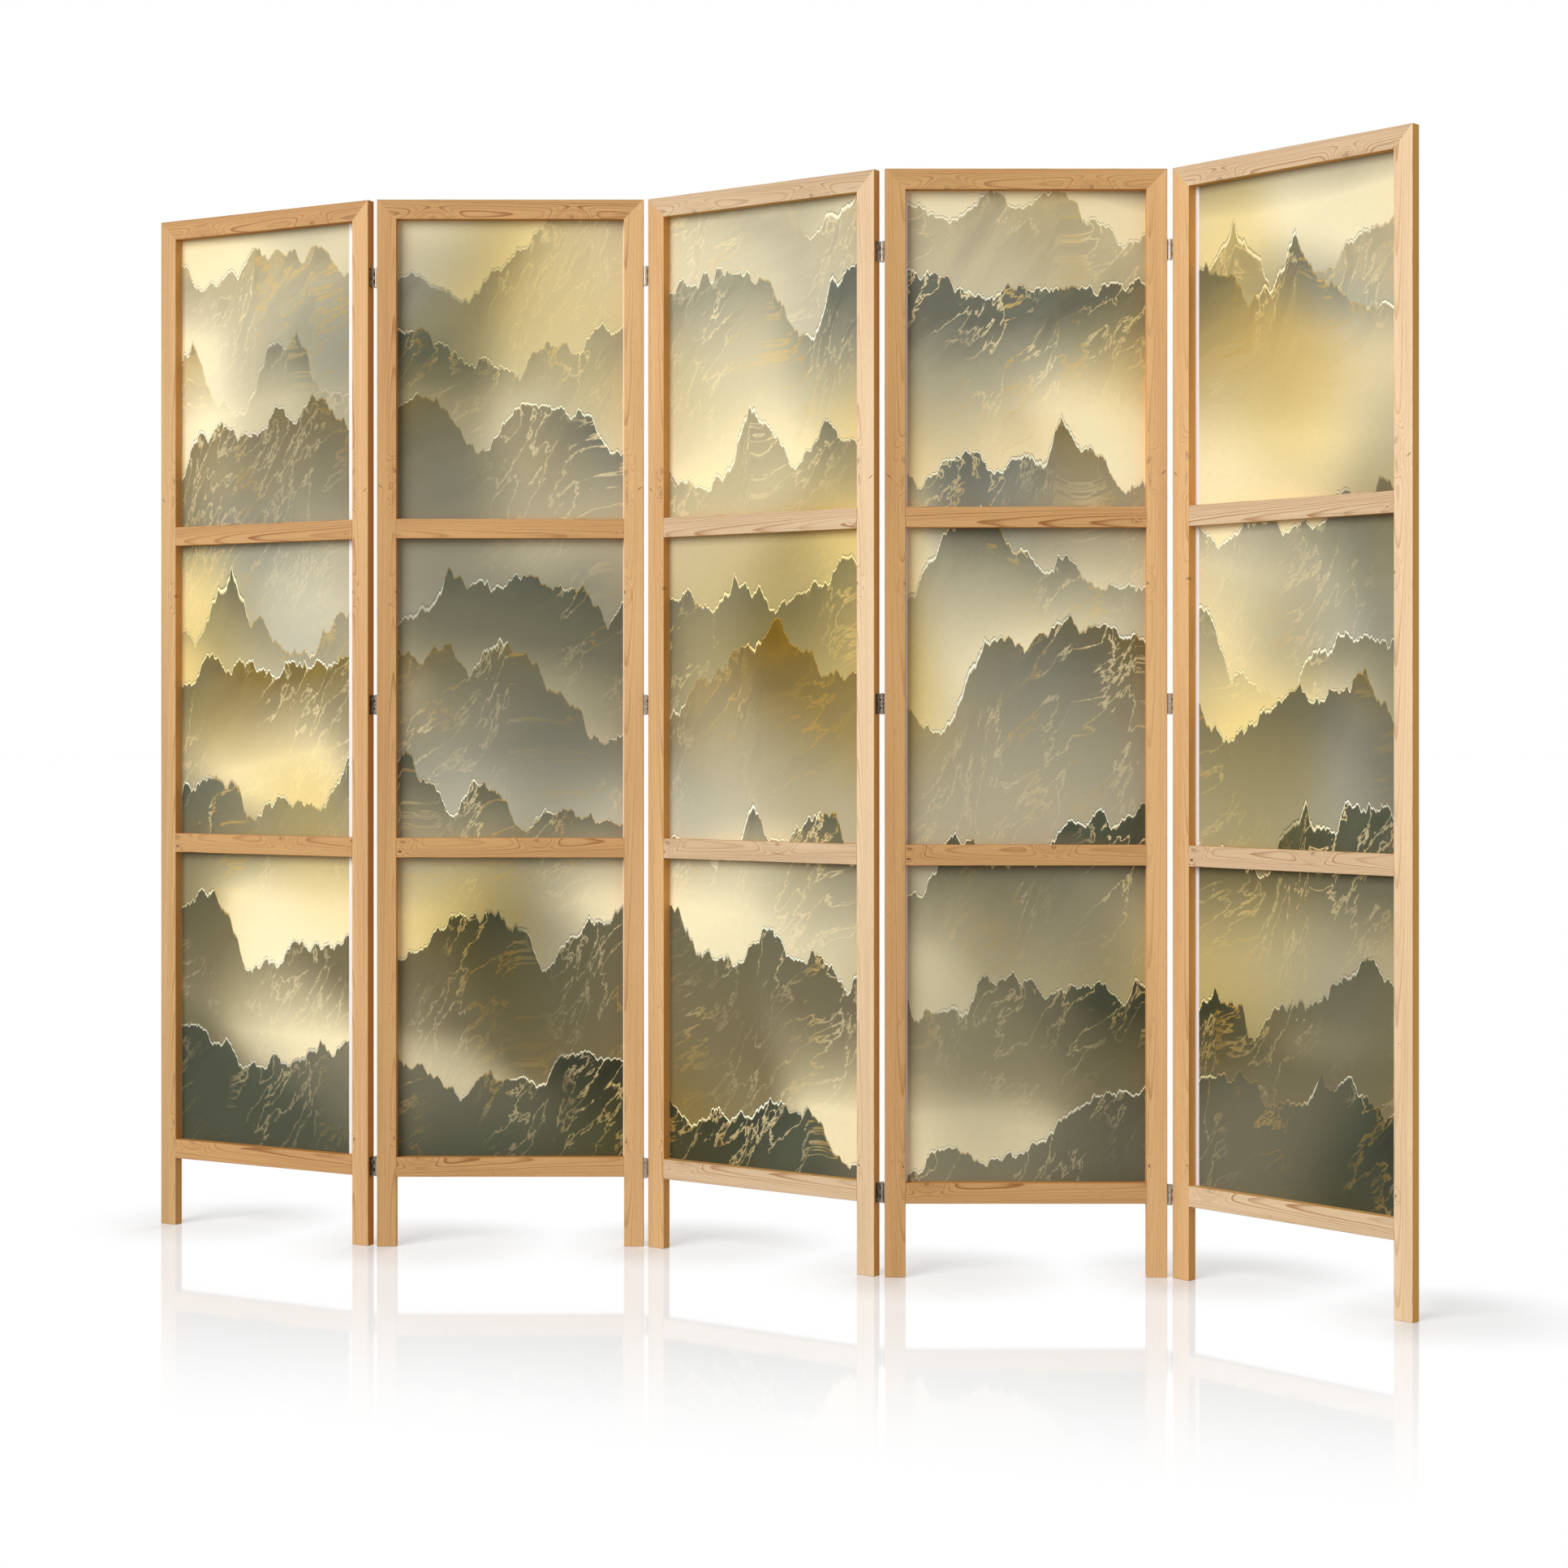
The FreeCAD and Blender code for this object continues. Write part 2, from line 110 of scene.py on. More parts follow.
@dataclass
class Graph:
    """A node tree, with short ways to add and wire its nodes.

    A node group also has an entry, where its inputs come in, and an exit, where its outputs go out.
    """

    tree: bpy.types.NodeTree
    entry: bpy.types.Node | None = None
    exit: bpy.types.Node | None = None

    @classmethod
    def group(cls, name: str, inputs: Sockets, outputs: Sockets) -> "Graph":
        """Start a shader node group.

        Args:
            name: Name of the group.
            inputs: Names of its inputs by what they carry.
            outputs: Names of its outputs by what they carry.

        Returns:
            The graph of the new group.
        """
        tree = bpy.data.node_groups.new(name, "ShaderNodeTree")
        for sockets, way in ((inputs, "INPUT"), (outputs, "OUTPUT")):
            for kind, labels in sockets.items():
                for label in labels:
                    tree.interface.new_socket(name=label, in_out=way, socket_type=kind.value)
        return cls(tree, tree.nodes.new("NodeGroupInput"), tree.nodes.new("NodeGroupOutput"))

    @classmethod
    def material(cls, name: str) -> tuple["Graph", bpy.types.Material]:
        """Start a material with nothing in it.

        Args:
            name: Name of the material.

        Returns:
            The graph of the material, and the material.
        """
        made = bpy.data.materials.new(name)
        made.use_nodes = True
        made.node_tree.nodes.clear()
        return cls(made.node_tree), made

    def feed(self, socket: bpy.types.NodeSocket, value: Feed) -> None:
        """Link a socket to another one, or set its value.

        Args:
            socket: The socket that takes something in.
            value: The socket that it is linked to, or its value.
        """
        if isinstance(value, bpy.types.NodeSocket):
            self.tree.links.new(value, socket)
        else:
            socket.default_value = value

    def add(
        self, kind: str, inputs: dict[str | int, Feed] | None = None, **settings: object
    ) -> bpy.types.Node:
        """Add a node.

        Args:
            kind: Blender's name of the node's type.
            inputs: What goes into its sockets, by name or number.
            **settings: Its properties.

        Returns:
            The new node.
        """
        node = self.tree.nodes.new(kind)
        for name, value in settings.items():
            setattr(node, name, value)
        for key, value in (inputs or {}).items():
            self.feed(node.inputs[key], value)
        return node

    def given(self, name: str) -> bpy.types.NodeSocket:
        """Give what comes into the group through one of its inputs."""
        return self.entry.outputs[name]

    def result(self, **values: Feed) -> bpy.types.NodeTree:
        """Send values out of the group.

        Args:
            **values: What goes out, by the names of the outputs.

        Returns:
            The finished group.
        """
        for name, value in values.items():
            self.feed(self.exit.inputs[name], value)
        return self.tree

    def use(self, group: bpy.types.NodeTree, inputs: dict[str, Feed]) -> bpy.types.NodeOutputs:
        """Place a node group and feed it, and give its outputs."""
        return self.add("ShaderNodeGroup", inputs, node_tree=group).outputs

    def math(self, operation: str, *values: Feed) -> bpy.types.NodeSocket:
        """Work out one number from one, two or three."""
        return self.add("ShaderNodeMath", dict(enumerate(values)), operation=operation).outputs[0]

    def product(self, first: Feed, *others: Feed) -> bpy.types.NodeSocket:
        """Multiply numbers.

        Args:
            first: The first number.
            *others: The others.

        Returns:
            Their product.
        """
        for other in others:
            first = self.math("MULTIPLY", first, other)
        return first

    def less(self, value: Feed) -> bpy.types.NodeSocket:
        """Give what a number from 0 to 1 leaves of 1."""
        return self.math("SUBTRACT", 1.0, value)

    def centred(self, value: Feed) -> bpy.types.NodeSocket:
        """Shift a noise from 0 to 1 so that it swings about 0."""
        return self.math("SUBTRACT", value, HALF)

    def vector(self, operation: str, *values: Feed) -> bpy.types.NodeSocket:
        """Work out a vector, or for a length or a dot product a number, from vectors."""
        node = self.add("ShaderNodeVectorMath", dict(enumerate(values)), operation=operation)
        return node.outputs["Value" if operation in ("LENGTH", "DOT_PRODUCT") else "Vector"]

    def combine(self, x: Feed, y: Feed, z: Feed) -> bpy.types.NodeSocket:
        """Make a vector of three numbers."""
        return self.add("ShaderNodeCombineXYZ", {"X": x, "Y": y, "Z": z}).outputs[0]

    def separate(self, vector: Feed) -> bpy.types.NodeOutputs:
        """Give a vector's x, y and z."""
        return self.add("ShaderNodeSeparateXYZ", {"Vector": vector}).outputs

    def between(self, value: Feed, low: Feed, high: Feed) -> bpy.types.NodeSocket:
        """Rise smoothly from 0 at the low value to 1 at the high one."""
        inputs = {"Value": value, "From Min": low, "From Max": high}
        return self.add("ShaderNodeMapRange", inputs, interpolation_type="SMOOTHSTEP").outputs[0]

    def fade(self, value: Feed, low: Feed, high: Feed) -> bpy.types.NodeSocket:
        """Fall smoothly from 1 at the low value to 0 at the high one."""
        return self.less(self.between(value, low, high))

    def spread(self, value: Feed, low: float, high: float) -> bpy.types.NodeSocket:
        """Turn a number from 0 to 1 into one from low to high."""
        return self.add("ShaderNodeMapRange", {"Value": value, "To Min": low, "To Max": high}).outputs[0]

    def mix(self, factor: Feed, first: Feed, second: Feed) -> bpy.types.NodeSocket:
        """Mix two colours.

        Args:
            factor: Share of the second one, kept from 0 to 1.
            first: The first colour.
            second: The second colour.

        Returns:
            The mixed colour.
        """
        inputs = {MIX_FACTOR: factor, MIX_FIRST: first, MIX_SECOND: second}
        node = self.add("ShaderNodeMix", inputs, data_type="RGBA", clamp_factor=True)
        return node.outputs[MIX_RESULT]

    def tint(self, first: Feed, second: Feed) -> bpy.types.NodeSocket:
        """Multiply two colours.

        Args:
            first: The first colour.
            second: The second colour.

        Returns:
            Their product, kept from 0 to 1.
        """
        inputs = {MIX_FACTOR: 1.0, MIX_FIRST: first, MIX_SECOND: second}
        settings = {"data_type": "RGBA", "blend_type": "MULTIPLY", "clamp_result": True}
        return self.add("ShaderNodeMix", inputs, **settings).outputs[MIX_RESULT]

    def shade(self, colour: Feed, factor: Feed) -> bpy.types.NodeSocket:
        """Make a colour darker or lighter by a factor, and keep it from 0 to 1."""
        grey = self.add("ShaderNodeCombineColor", {0: factor, 1: factor, 2: factor}).outputs[0]
        return self.tint(colour, grey)

    def noise(
        self, place: Feed, swells: Place | None = None, detail: float = 2.0, roughness: float = HALF,
        output: Noise = Noise.SINGLE,
    ) -> bpy.types.NodeSocket:
        """Give a smooth noise from 0 to 1.

        Args:
            place: Where it is read.
            swells: Its swells to each unit of the place, where these aren't 1.
            detail: How many finer layers it has.
            roughness: How strong these are.
            output: Whether it is one noise, or three at once.

        Returns:
            The noise.
        """
        if swells:
            place = self.vector("MULTIPLY", place, swells)
        inputs = {"Vector": place, "Scale": 1.0, "Detail": detail, "Roughness": roughness}
        return self.add("ShaderNodeTexNoise", inputs).outputs[output.value]

    def bump(self, height: Feed, strength: float, distance: float) -> bpy.types.NodeSocket:
        """Give the normal of a surface that a height roughens."""
        inputs = {"Height": height, "Strength": strength, "Distance": distance}
        return self.add("ShaderNodeBump", inputs).outputs[0]

    def surface(self, inputs: dict[str, Feed]) -> None:
        """Finish a material with a Principled shader that takes these inputs."""
        shader = self.add("ShaderNodeBsdfPrincipled", inputs)
        self.add("ShaderNodeOutputMaterial", {"Surface": shader.outputs[0]})


@dataclass(frozen=True)
class Knot:
    """A knot or a dark streak in a bar.

    Its place is across and along the grain. A slim value above 1 squeezes its core along the grain, and one
    below 1 draws it out. The tilt turns the core on the face, dark is how much of the knot's colour the core
    has, and push is how many radii the rings bend aside.
    """

    across: float
    along: float
    radius: float
    slim: float = 1.0
    tilt: float = 0.0
    dark: float = 0.9
    push: float = 1.7


def streak(across: float, along: float, length: float, tilt: float = 0.0, dark: float = 0.6) -> Knot:
    """Give a thin dark line in the wood, by its middle, its length, its tilt and how dark it is."""
    half_width = 0.5 * MILLIMETRE
    return Knot(across, along, half_width, 2 * half_width / length, tilt, dark, 0.0)


@dataclass(frozen=True)
class WoodFinish:
    """Planed wood under a thin matt oil, with the painted shade of its side faces."""

    early: Colour
    late: Colour
    # Painted shade on a bar's side faces: the outer one darkens the outer sides of stiles and the undersides
    # of rails, the inner one darkens the other sides less
    outer_side_shade: Colour
    inner_side_shade: Colour
    knot: Colour
    ring: float
    taper: float


class Board(Enum):
    """The boards that the bars and the dowels are cut from."""

    PINE = WoodFinish(
        early=srgb(232, 187, 130),
        late=srgb(172, 116, 62),
        outer_side_shade=srgb(238, 206, 124),
        inner_side_shade=srgb(255, 230, 176),
        knot=srgb(96, 56, 26),
        ring=1.1 * MILLIMETRE,
        taper=0.010,
    )
    PALE_PINE = replace(PINE, early=srgb(233, 203, 164), late=srgb(178, 132, 86))
    AMBER_PINE = replace(PINE, early=srgb(228, 178, 116), late=srgb(166, 108, 54))
    BEECH = WoodFinish(
        early=srgb(224, 190, 152),
        late=srgb(196, 150, 108),
        outer_side_shade=srgb(240, 225, 210),
        inner_side_shade=srgb(240, 225, 210),
        knot=srgb(120, 84, 56),
        ring=0.9 * MILLIMETRE,
        taper=0.004,
    )


@dataclass
class WoodGroups:
    """Shader node groups for the wood: the knots, and the grain that bends round them."""

    knot_stretch: Place = (1.0, 0.3, 0.45)
    knot_fall: float = -0.2
    rag_swells: Place = (900.0, 900.0, 300.0)
    rag_reach: float = 0.9
    core_span: Span = (0.3, 1.0)
    seed_shift: Place = (1.0, 1.7, 2.3)
    slow_swells: Place = (9.0, 9.0, 1.3)
    slow_reach: float = 0.008
    wave_swells: Place = (30.0, 30.0, 9.0)
    wave_reach: float = 0.0009
    patch_swells: Place = (22.0, 22.0, 1.9)
    patch_depth: float = 0.75
    streak_swells: Place = (420.0, 420.0, 4.0)
    streak_depth: float = 0.42
    fibre_swells: Place = (1900.0, 1900.0, 34.0)
    fibre_depth: float = 0.42
    fleck_swells: Place = (1100.0, 1100.0, 90.0)
    fleck_detail: float = 1.0
    fleck_span: Span = (0.64, 0.78)
    fleck_depth: float = 0.4
    noise_roughness: float = 0.55
    across_grain: Place = (1.0, 1.0, 0.0)
    late_rise: Span = (0.45, 0.95)
    late_power: float = 2.0
    late_end: Span = (0.95, 1.0)
    late_rarity: float = 1.8
    late_strength: Span = (0.28, 1.15)
    plain_depth: float = 0.12
    line_height: float = 0.35
    line_polish: float = -0.12
    roughness: Span = (0.5, 0.7)

    def __post_init__(self) -> None:
        """Build both groups."""
        self.knot = self.build_knot()
        self.grain = self.build_grain()

    def build_knot(self) -> bpy.types.NodeTree:
        """Make the group that says how far a knot pushes the rings aside, and where its core is.

        Returns:
            The group, with outputs Bend in metres and Core from 0 to 1.
        """
        graph = Graph.group(
            "wood_knot",
            {Kind.VECTOR: ("Place", "Centre"), Kind.VALUE: ("Radius", "Slim", "Tilt", "Dark", "Push")},
            {Kind.VALUE: ("Bend", "Core")},
        )
        place, radius = graph.given("Place"), graph.given("Radius")
        gap = graph.vector("SUBTRACT", place, graph.given("Centre"))
        stretched = graph.vector("LENGTH", graph.vector("MULTIPLY", gap, self.knot_stretch))
        share = graph.math("DIVIDE", stretched, radius)
        hump = graph.math("EXPONENT", graph.product(share, share, self.knot_fall))
        turned = graph.add(
            "ShaderNodeVectorRotate", {"Vector": gap, "Angle": graph.given("Tilt")}, rotation_type="Y_AXIS"
        ).outputs[0]
        slimmed = graph.combine(1.0, self.knot_stretch[1], graph.given("Slim"))
        squeezed = graph.vector("MULTIPLY", turned, slimmed)
        reach = graph.math("DIVIDE", graph.vector("LENGTH", squeezed), radius)
        ragged = graph.centred(graph.noise(place, self.rag_swells))
        core = graph.fade(graph.math("MULTIPLY_ADD", ragged, self.rag_reach, reach), *self.core_span)
        bend = graph.product(hump, radius, graph.given("Push"))
        return graph.result(Bend=bend, Core=graph.product(core, graph.given("Dark")))

    def build_grain(self) -> bpy.types.NodeTree:
        """Make the group that colours a bar from its growth rings, fibres, knots and painted side shade.

        Returns:
            The group, with outputs Colour, Height and Roughness.
        """
        graph = Graph.group(
            "wood_grain",
            {
                Kind.VECTOR: ("Place", "Pith"),
                Kind.VALUE: ("Seed", "Ring", "Taper", "Figure", "Bend", "Core", "Side Shade"),
                Kind.COLOUR: ("Early", "Late", "Edge Tint", "Knot"),
            },
            {Kind.COLOUR: ("Colour",), Kind.VALUE: ("Height", "Roughness")},
        )
        place, seed = graph.given("Place"), graph.given("Seed")
        early, late = graph.given("Early"), graph.given("Late")
        shift = graph.combine(*(graph.product(seed, share) for share in self.seed_shift))
        own = graph.vector("ADD", place, shift)
        slow, wave, patch, fine_streak, fibre = (
            graph.noise(own, swells, roughness=self.noise_roughness)
            for swells in (
                self.slow_swells, self.wave_swells, self.patch_swells, self.streak_swells, self.fibre_swells,
            )
        )
        fleck = graph.noise(own, self.fleck_swells, self.fleck_detail, self.noise_roughness)
        from_pith = graph.vector("SUBTRACT", place, graph.given("Pith"))
        reach = graph.vector("LENGTH", graph.vector("MULTIPLY", from_pith, self.across_grain))
        for part in (
            graph.product(graph.separate(place)["Z"], graph.given("Taper")),
            graph.product(graph.centred(slow), self.slow_reach),
            graph.product(graph.centred(wave), self.wave_reach),
            graph.given("Bend"),
        ):
            reach = graph.math("ADD", reach, part)
        count = graph.math("DIVIDE", reach, graph.given("Ring"))
        share = graph.math("FRACT", count)
        number = graph.math("ADD", graph.math("FLOOR", count), seed)
        chance = graph.add("ShaderNodeTexWhiteNoise", {"W": number}, noise_dimensions="1D").outputs["Value"]
        rise = graph.math("POWER", graph.between(share, *self.late_rise), self.late_power)
        strong = graph.spread(graph.math("POWER", chance, self.late_rarity), *self.late_strength)
        line = graph.product(rise, graph.fade(share, *self.late_end), strong, graph.given("Figure"))
        depth = graph.math("ADD", line, self.plain_depth)
        for swell, weight in (
            (fine_streak, self.streak_depth), (fibre, self.fibre_depth), (patch, self.patch_depth),
        ):
            depth = graph.math("MULTIPLY_ADD", graph.centred(swell), weight, depth)
        colour = graph.mix(depth, early, late)
        flecks = graph.product(graph.between(fleck, *self.fleck_span), self.fleck_depth)
        colour = graph.mix(flecks, colour, late)
        # Painted shade: faces turned away from the front and the back take the side shade tint
        colour = graph.mix(graph.given("Side Shade"), colour, graph.tint(colour, graph.given("Edge Tint")))
        matt = graph.spread(fibre, *self.roughness)
        return graph.result(
            Colour=graph.mix(graph.given("Core"), colour, graph.given("Knot")),
            Height=graph.math("MULTIPLY_ADD", line, self.line_height, fibre),
            Roughness=graph.math("MULTIPLY_ADD", line, self.line_polish, matt),
        )


@dataclass(frozen=True)
class Panel:
    """One panel of the screen: its number, its turn about the upright and its front left foot."""

    number: int
    turn: Matrix
    corner: Vector

    @classmethod
    def from_frame(cls, number: int) -> "Panel":
        """Find where a panel stands from its two stiles.

        Args:
            number: The panel's number from the left, from 1.

        Returns:
            The panel.
        """
        middles = [sum(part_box(f"panel_{number}_{stile}"), Vector()) / 2 for stile in STILES]
        across = middles[1] - middles[0]
        turn = Matrix.Rotation(math.atan2(across.y, across.x), 3, "Z")
        panel = cls(number, turn, Vector())
        low, _ = panel.box("left_stile")
        return cls(number, turn, turn @ low)

    @property
    def body(self) -> str:
        """Give the name of the body that the panel is."""
        return f"panel_{self.number}"

    def node(self, piece: str) -> str:
        """Give the name of one of the panel's nodes."""
        return f"{self.body}_{piece}"

    def inside(self, point: Vector) -> Vector:
        """Give a point's place in the panel's own frame."""
        return self.turn.transposed() @ (point - self.corner)

    def outside(self, point: Vector) -> Vector:
        """Give the place of a point of the panel's own frame in the shared frame."""
        return self.turn @ point + self.corner

    def box(self, piece: str) -> tuple[Vector, Vector]:
        """Measure a node in the panel's own frame, from its lowest corner to its highest."""
        points = [self.inside(vertex.co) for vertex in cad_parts[self.node(piece)].data.vertices]
        return Vector(map(min, zip(*points))), Vector(map(max, zip(*points)))


def dress(node: str, material: bpy.types.Material) -> bpy.types.Object:
    """Give a node of the frame a material.

    Args:
        node: Name of the node.
        material: What it is made of.

    Returns:
        The node's object.
    """
    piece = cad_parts[node]
    piece.data.materials.clear()
    piece.data.materials.append(material)
    return piece


@dataclass(frozen=True)
class Bar:
    """What sets a bar's wood apart.

    The tone says how light it is, the pith where its rings centre across its face, and the figure how
    strongly its late wood shows. Places across the face start at the outer edge of a stile or at the
    underside of a rail.
    """

    tone: float
    pith: float
    knots: tuple[Knot, ...]
    figure: float = 1.0


STILE_KNOTS: tuple[Knot, ...] = (
    Knot(0.0055, 1.1655, 0.0066, slim=6.0, tilt=-0.7, dark=0.85, push=0.5),
    Knot(0.0270, 1.1900, 0.0040, slim=0.5, tilt=0.3, dark=0.35),
    Knot(0.0255, 1.1560, 0.0030, slim=0.2, tilt=-0.1, dark=0.25),
    Knot(0.0290, 1.0100, 0.0034, dark=0.55),
    Knot(0.0265, 0.1640, 0.0020),
    streak(0.0268, 0.1640, 0.018, tilt=0.5),
    streak(0.0262, 0.1640, 0.018, tilt=-0.6),
    streak(0.0280, 0.2150, 0.110, tilt=0.01),
    streak(0.0240, 0.1500, 0.030, tilt=0.2, dark=0.4),
    Knot(0.0215, 0.3720, 0.0010),
)
BARS: dict[str, Bar] = {
    "left_stile": Bar(tone=0.92, pith=0.0265, knots=STILE_KNOTS, figure=0.5),
    "right_stile": Bar(tone=1.07, pith=0.0265, knots=STILE_KNOTS, figure=0.5),
    "bottom_rail": Bar(tone=0.92, pith=0.0250, knots=(
        Knot(0.0290, 0.0330, 0.0052, slim=0.7, dark=0.25),
        streak(0.0250, 0.0480, 0.060, tilt=0.16, dark=0.5),
        Knot(0.0050, 0.1480, 0.0010),
    )),
    "lower_rail": Bar(tone=0.92, pith=0.0230, knots=(
        Knot(0.0265, 0.2140, 0.0046, slim=0.9, dark=0.35),
        Knot(0.0262, 0.2140, 0.0012),
        Knot(0.0095, 0.0015, 0.0026, slim=0.6),
        Knot(0.0240, 0.0060, 0.0040, slim=0.5, tilt=0.2, dark=0.4),
        streak(0.0262, 0.0330, 0.024, tilt=0.5, dark=0.7),
        streak(0.0270, 0.1850, 0.030, tilt=0.35, dark=0.5),
    )),
    "upper_rail": Bar(tone=0.90, pith=0.0040, knots=(
        Knot(0.0085, 0.3390, 0.0011),
        streak(0.0040, 0.2500, 0.160, tilt=0.01, dark=0.5),
    )),
    "top_rail": Bar(tone=0.88, pith=0.0050, knots=(
        Knot(0.0010, 0.0860, 0.0056, slim=0.8, dark=0.30),
        Knot(0.0035, 0.3020, 0.0050, slim=0.9, dark=0.35),
        Knot(0.0030, 0.3020, 0.0013),
        streak(0.0075, 0.0300, 0.034, tilt=0.12, dark=0.7),
        streak(0.0072, 0.3760, 0.040, tilt=-0.06, dark=0.7),
        streak(0.0045, 0.3300, 0.030, tilt=-0.22),
        streak(0.0030, 0.1150, 0.040, tilt=-0.14),
    )),
}

# Which bars of each panel are cut from the paler and the darker boards, and how light each panel is
PALE_BARS: dict[int, tuple[str, ...]] = {3: ("right_stile", *RAILS), 5: ("right_stile", *RAILS)}
AMBER_BARS: dict[int, tuple[str, ...]] = {
    1: RAILS,
    2: ("left_stile", *RAILS),
    4: ("left_stile", *RAILS),
}
PANEL_TONES: dict[int, float] = {1: 0.86, 2: 0.91, 3: 0.96, 4: 0.94, 5: 1.03}

# Turn that lays a bar's grain along a rail
ALONG_RAIL = Matrix(((0, 0, 1), (0, -1, 0), (1, 0, 0)))


@dataclass
class PineFrame:
    """A panel's stiles and rails, which keep their solids and get their wood."""

    panel: Panel
    groups: WoodGroups
    pith_depth: float = 0.036
    pith_wander: float = 0.003
    knot_wander: float = 0.004
    tone_wander: float = 0.03
    seeds: Span = (0.0, 40.0)
    side_shade_span: Span = (0.25, 0.85)
    inner_shade_span: Span = (0.012, 0.018)
    grain_bump: float = 0.3
    grain_relief: float = 0.2 * MILLIMETRE
    gloss: float = 0.35

    def __post_init__(self) -> None:
        """Start the panel's own random draws."""
        self.draw = random.Random(self.panel.number)

    def wander(self, reach: float) -> float:
        """Draw how far a value strays from its own."""
        return self.draw.uniform(-reach, reach)

    def board(self, piece: str) -> WoodFinish:
        """Say which board a bar is cut from.

        Args:
            piece: Name of the bar.

        Returns:
            The board's finish.
        """
        for board, bars in ((Board.PALE_PINE, PALE_BARS), (Board.AMBER_PINE, AMBER_BARS)):
            if piece in bars.get(self.panel.number, ()):
                return board.value
        return Board.PINE.value

    def mapping(self, piece: str) -> dict[str, Feed]:
        """Turn the shared frame into a bar's own, with z along its grain and x across its face.

        Args:
            piece: Name of the bar.

        Returns:
            The values of a Mapping node that reads a texture's place.
        """
        start, high = self.panel.box(piece)
        turn, scale = self.panel.turn, (1.0, 1.0, 1.0)
        if piece == "right_stile":
            start.x, scale = high.x, (-1.0, 1.0, 1.0)
        elif piece in RAILS:
            turn, scale = turn @ ALONG_RAIL, (1.0, -1.0, 1.0)
        return {"Location": self.panel.outside(start), "Rotation": turn.to_euler("XYZ"), "Scale": scale}

    def wood(self, piece: str) -> bpy.types.Material:
        """Make the wood of one bar.

        Args:
            piece: Name of the bar.

        Returns:
            Its material.
        """
        graph, made = Graph.material(f"pine_{self.panel.node(piece)}")
        spot = graph.add("ShaderNodeTexCoord").outputs
        inputs = {"Vector": spot["Object"], **self.mapping(piece)}
        place = graph.add("ShaderNodeMapping", inputs, vector_type="TEXTURE").outputs[0]
        bar, board = BARS[piece], self.board(piece)
        bend, core = 0.0, 0.0
        for knot in bar.knots:
            made_knot = graph.use(self.groups.knot, {
                "Place": place, "Centre": (knot.across, 0.0, knot.along + self.wander(self.knot_wander)),
                "Radius": knot.radius, "Slim": knot.slim, "Tilt": knot.tilt, "Dark": knot.dark,
                "Push": knot.push,
            })
            bend = graph.math("ADD", made_knot["Bend"], bend)
            core = graph.math("MAXIMUM", made_knot["Core"], core)
        # Painted shade on the side faces: those turned away from front and back are darkened, outer faces of
        # stiles and undersides of rails more than the others
        depth_way = self.panel.turn @ Vector((0, 1, 0))
        facing = graph.math("ABSOLUTE", graph.vector("DOT_PRODUCT", spot["Normal"], depth_way))
        inner = graph.between(graph.separate(place)["X"], *self.inner_shade_span)
        pith = [value + self.wander(self.pith_wander) for value in (bar.pith, self.pith_depth)]
        tone = PANEL_TONES[self.panel.number] * bar.tone * (1 + self.wander(self.tone_wander))
        grain = graph.use(self.groups.grain, {
            "Place": place, "Pith": (*pith, 0.0), "Seed": self.draw.uniform(*self.seeds), "Ring": board.ring,
            "Taper": board.taper * self.draw.choice((-1, 1)), "Figure": bar.figure,
            "Bend": bend, "Core": core, "Side Shade": graph.fade(facing, *self.side_shade_span),
            "Early": toned(board.early, tone), "Late": toned(board.late, tone),
            "Edge Tint": graph.mix(inner, board.outer_side_shade, board.inner_side_shade), "Knot": board.knot,
        })
        graph.surface({
            "Base Color": grain["Colour"],
            "Roughness": grain["Roughness"],
            "Normal": graph.bump(grain["Height"], self.grain_bump, self.grain_relief),
            "Specular IOR Level": self.gloss,
        })
        return made

    def dress(self) -> list[bpy.types.Object]:
        """Give each bar its own wood, and give the bars."""
        return [dress(self.panel.node(piece), self.wood(piece)) for piece in (*STILES, *RAILS)]


@dataclass(frozen=True)
class PrintPalette:
    """Colours of the print: greyed olives and golds with cream lights."""

    deep: Colour = srgb(56, 58, 42)
    olive: Colour = srgb(82, 85, 66)
    sage: Colour = srgb(106, 111, 98)
    pale_sage: Colour = srgb(138, 141, 126)
    moss_gold: Colour = srgb(134, 110, 30)
    ochre: Colour = srgb(168, 138, 66)
    tan: Colour = srgb(182, 164, 116)
    mist: Colour = srgb(210, 204, 180)
    cream: Colour = srgb(250, 235, 192)
    glow: Colour = srgb(255, 248, 220)
    gilt: Colour = srgb(216, 176, 84)
    gold_wash: Colour = srgb(246, 228, 158)


@dataclass(frozen=True)
class Ridge:
    """One range of mountains in the print.

    Its level is a height above the floor, its rise says how far its peaks stand up from there, and its spread
    how many mountains there are to a metre. Its seed picks its peaks, and its gilt is how strong the bright
    line along them is.
    """

    level: float
    rise: float
    spread: float
    seed: float
    body: Colour
    other: Colour
    mist: Colour
    gilt: float


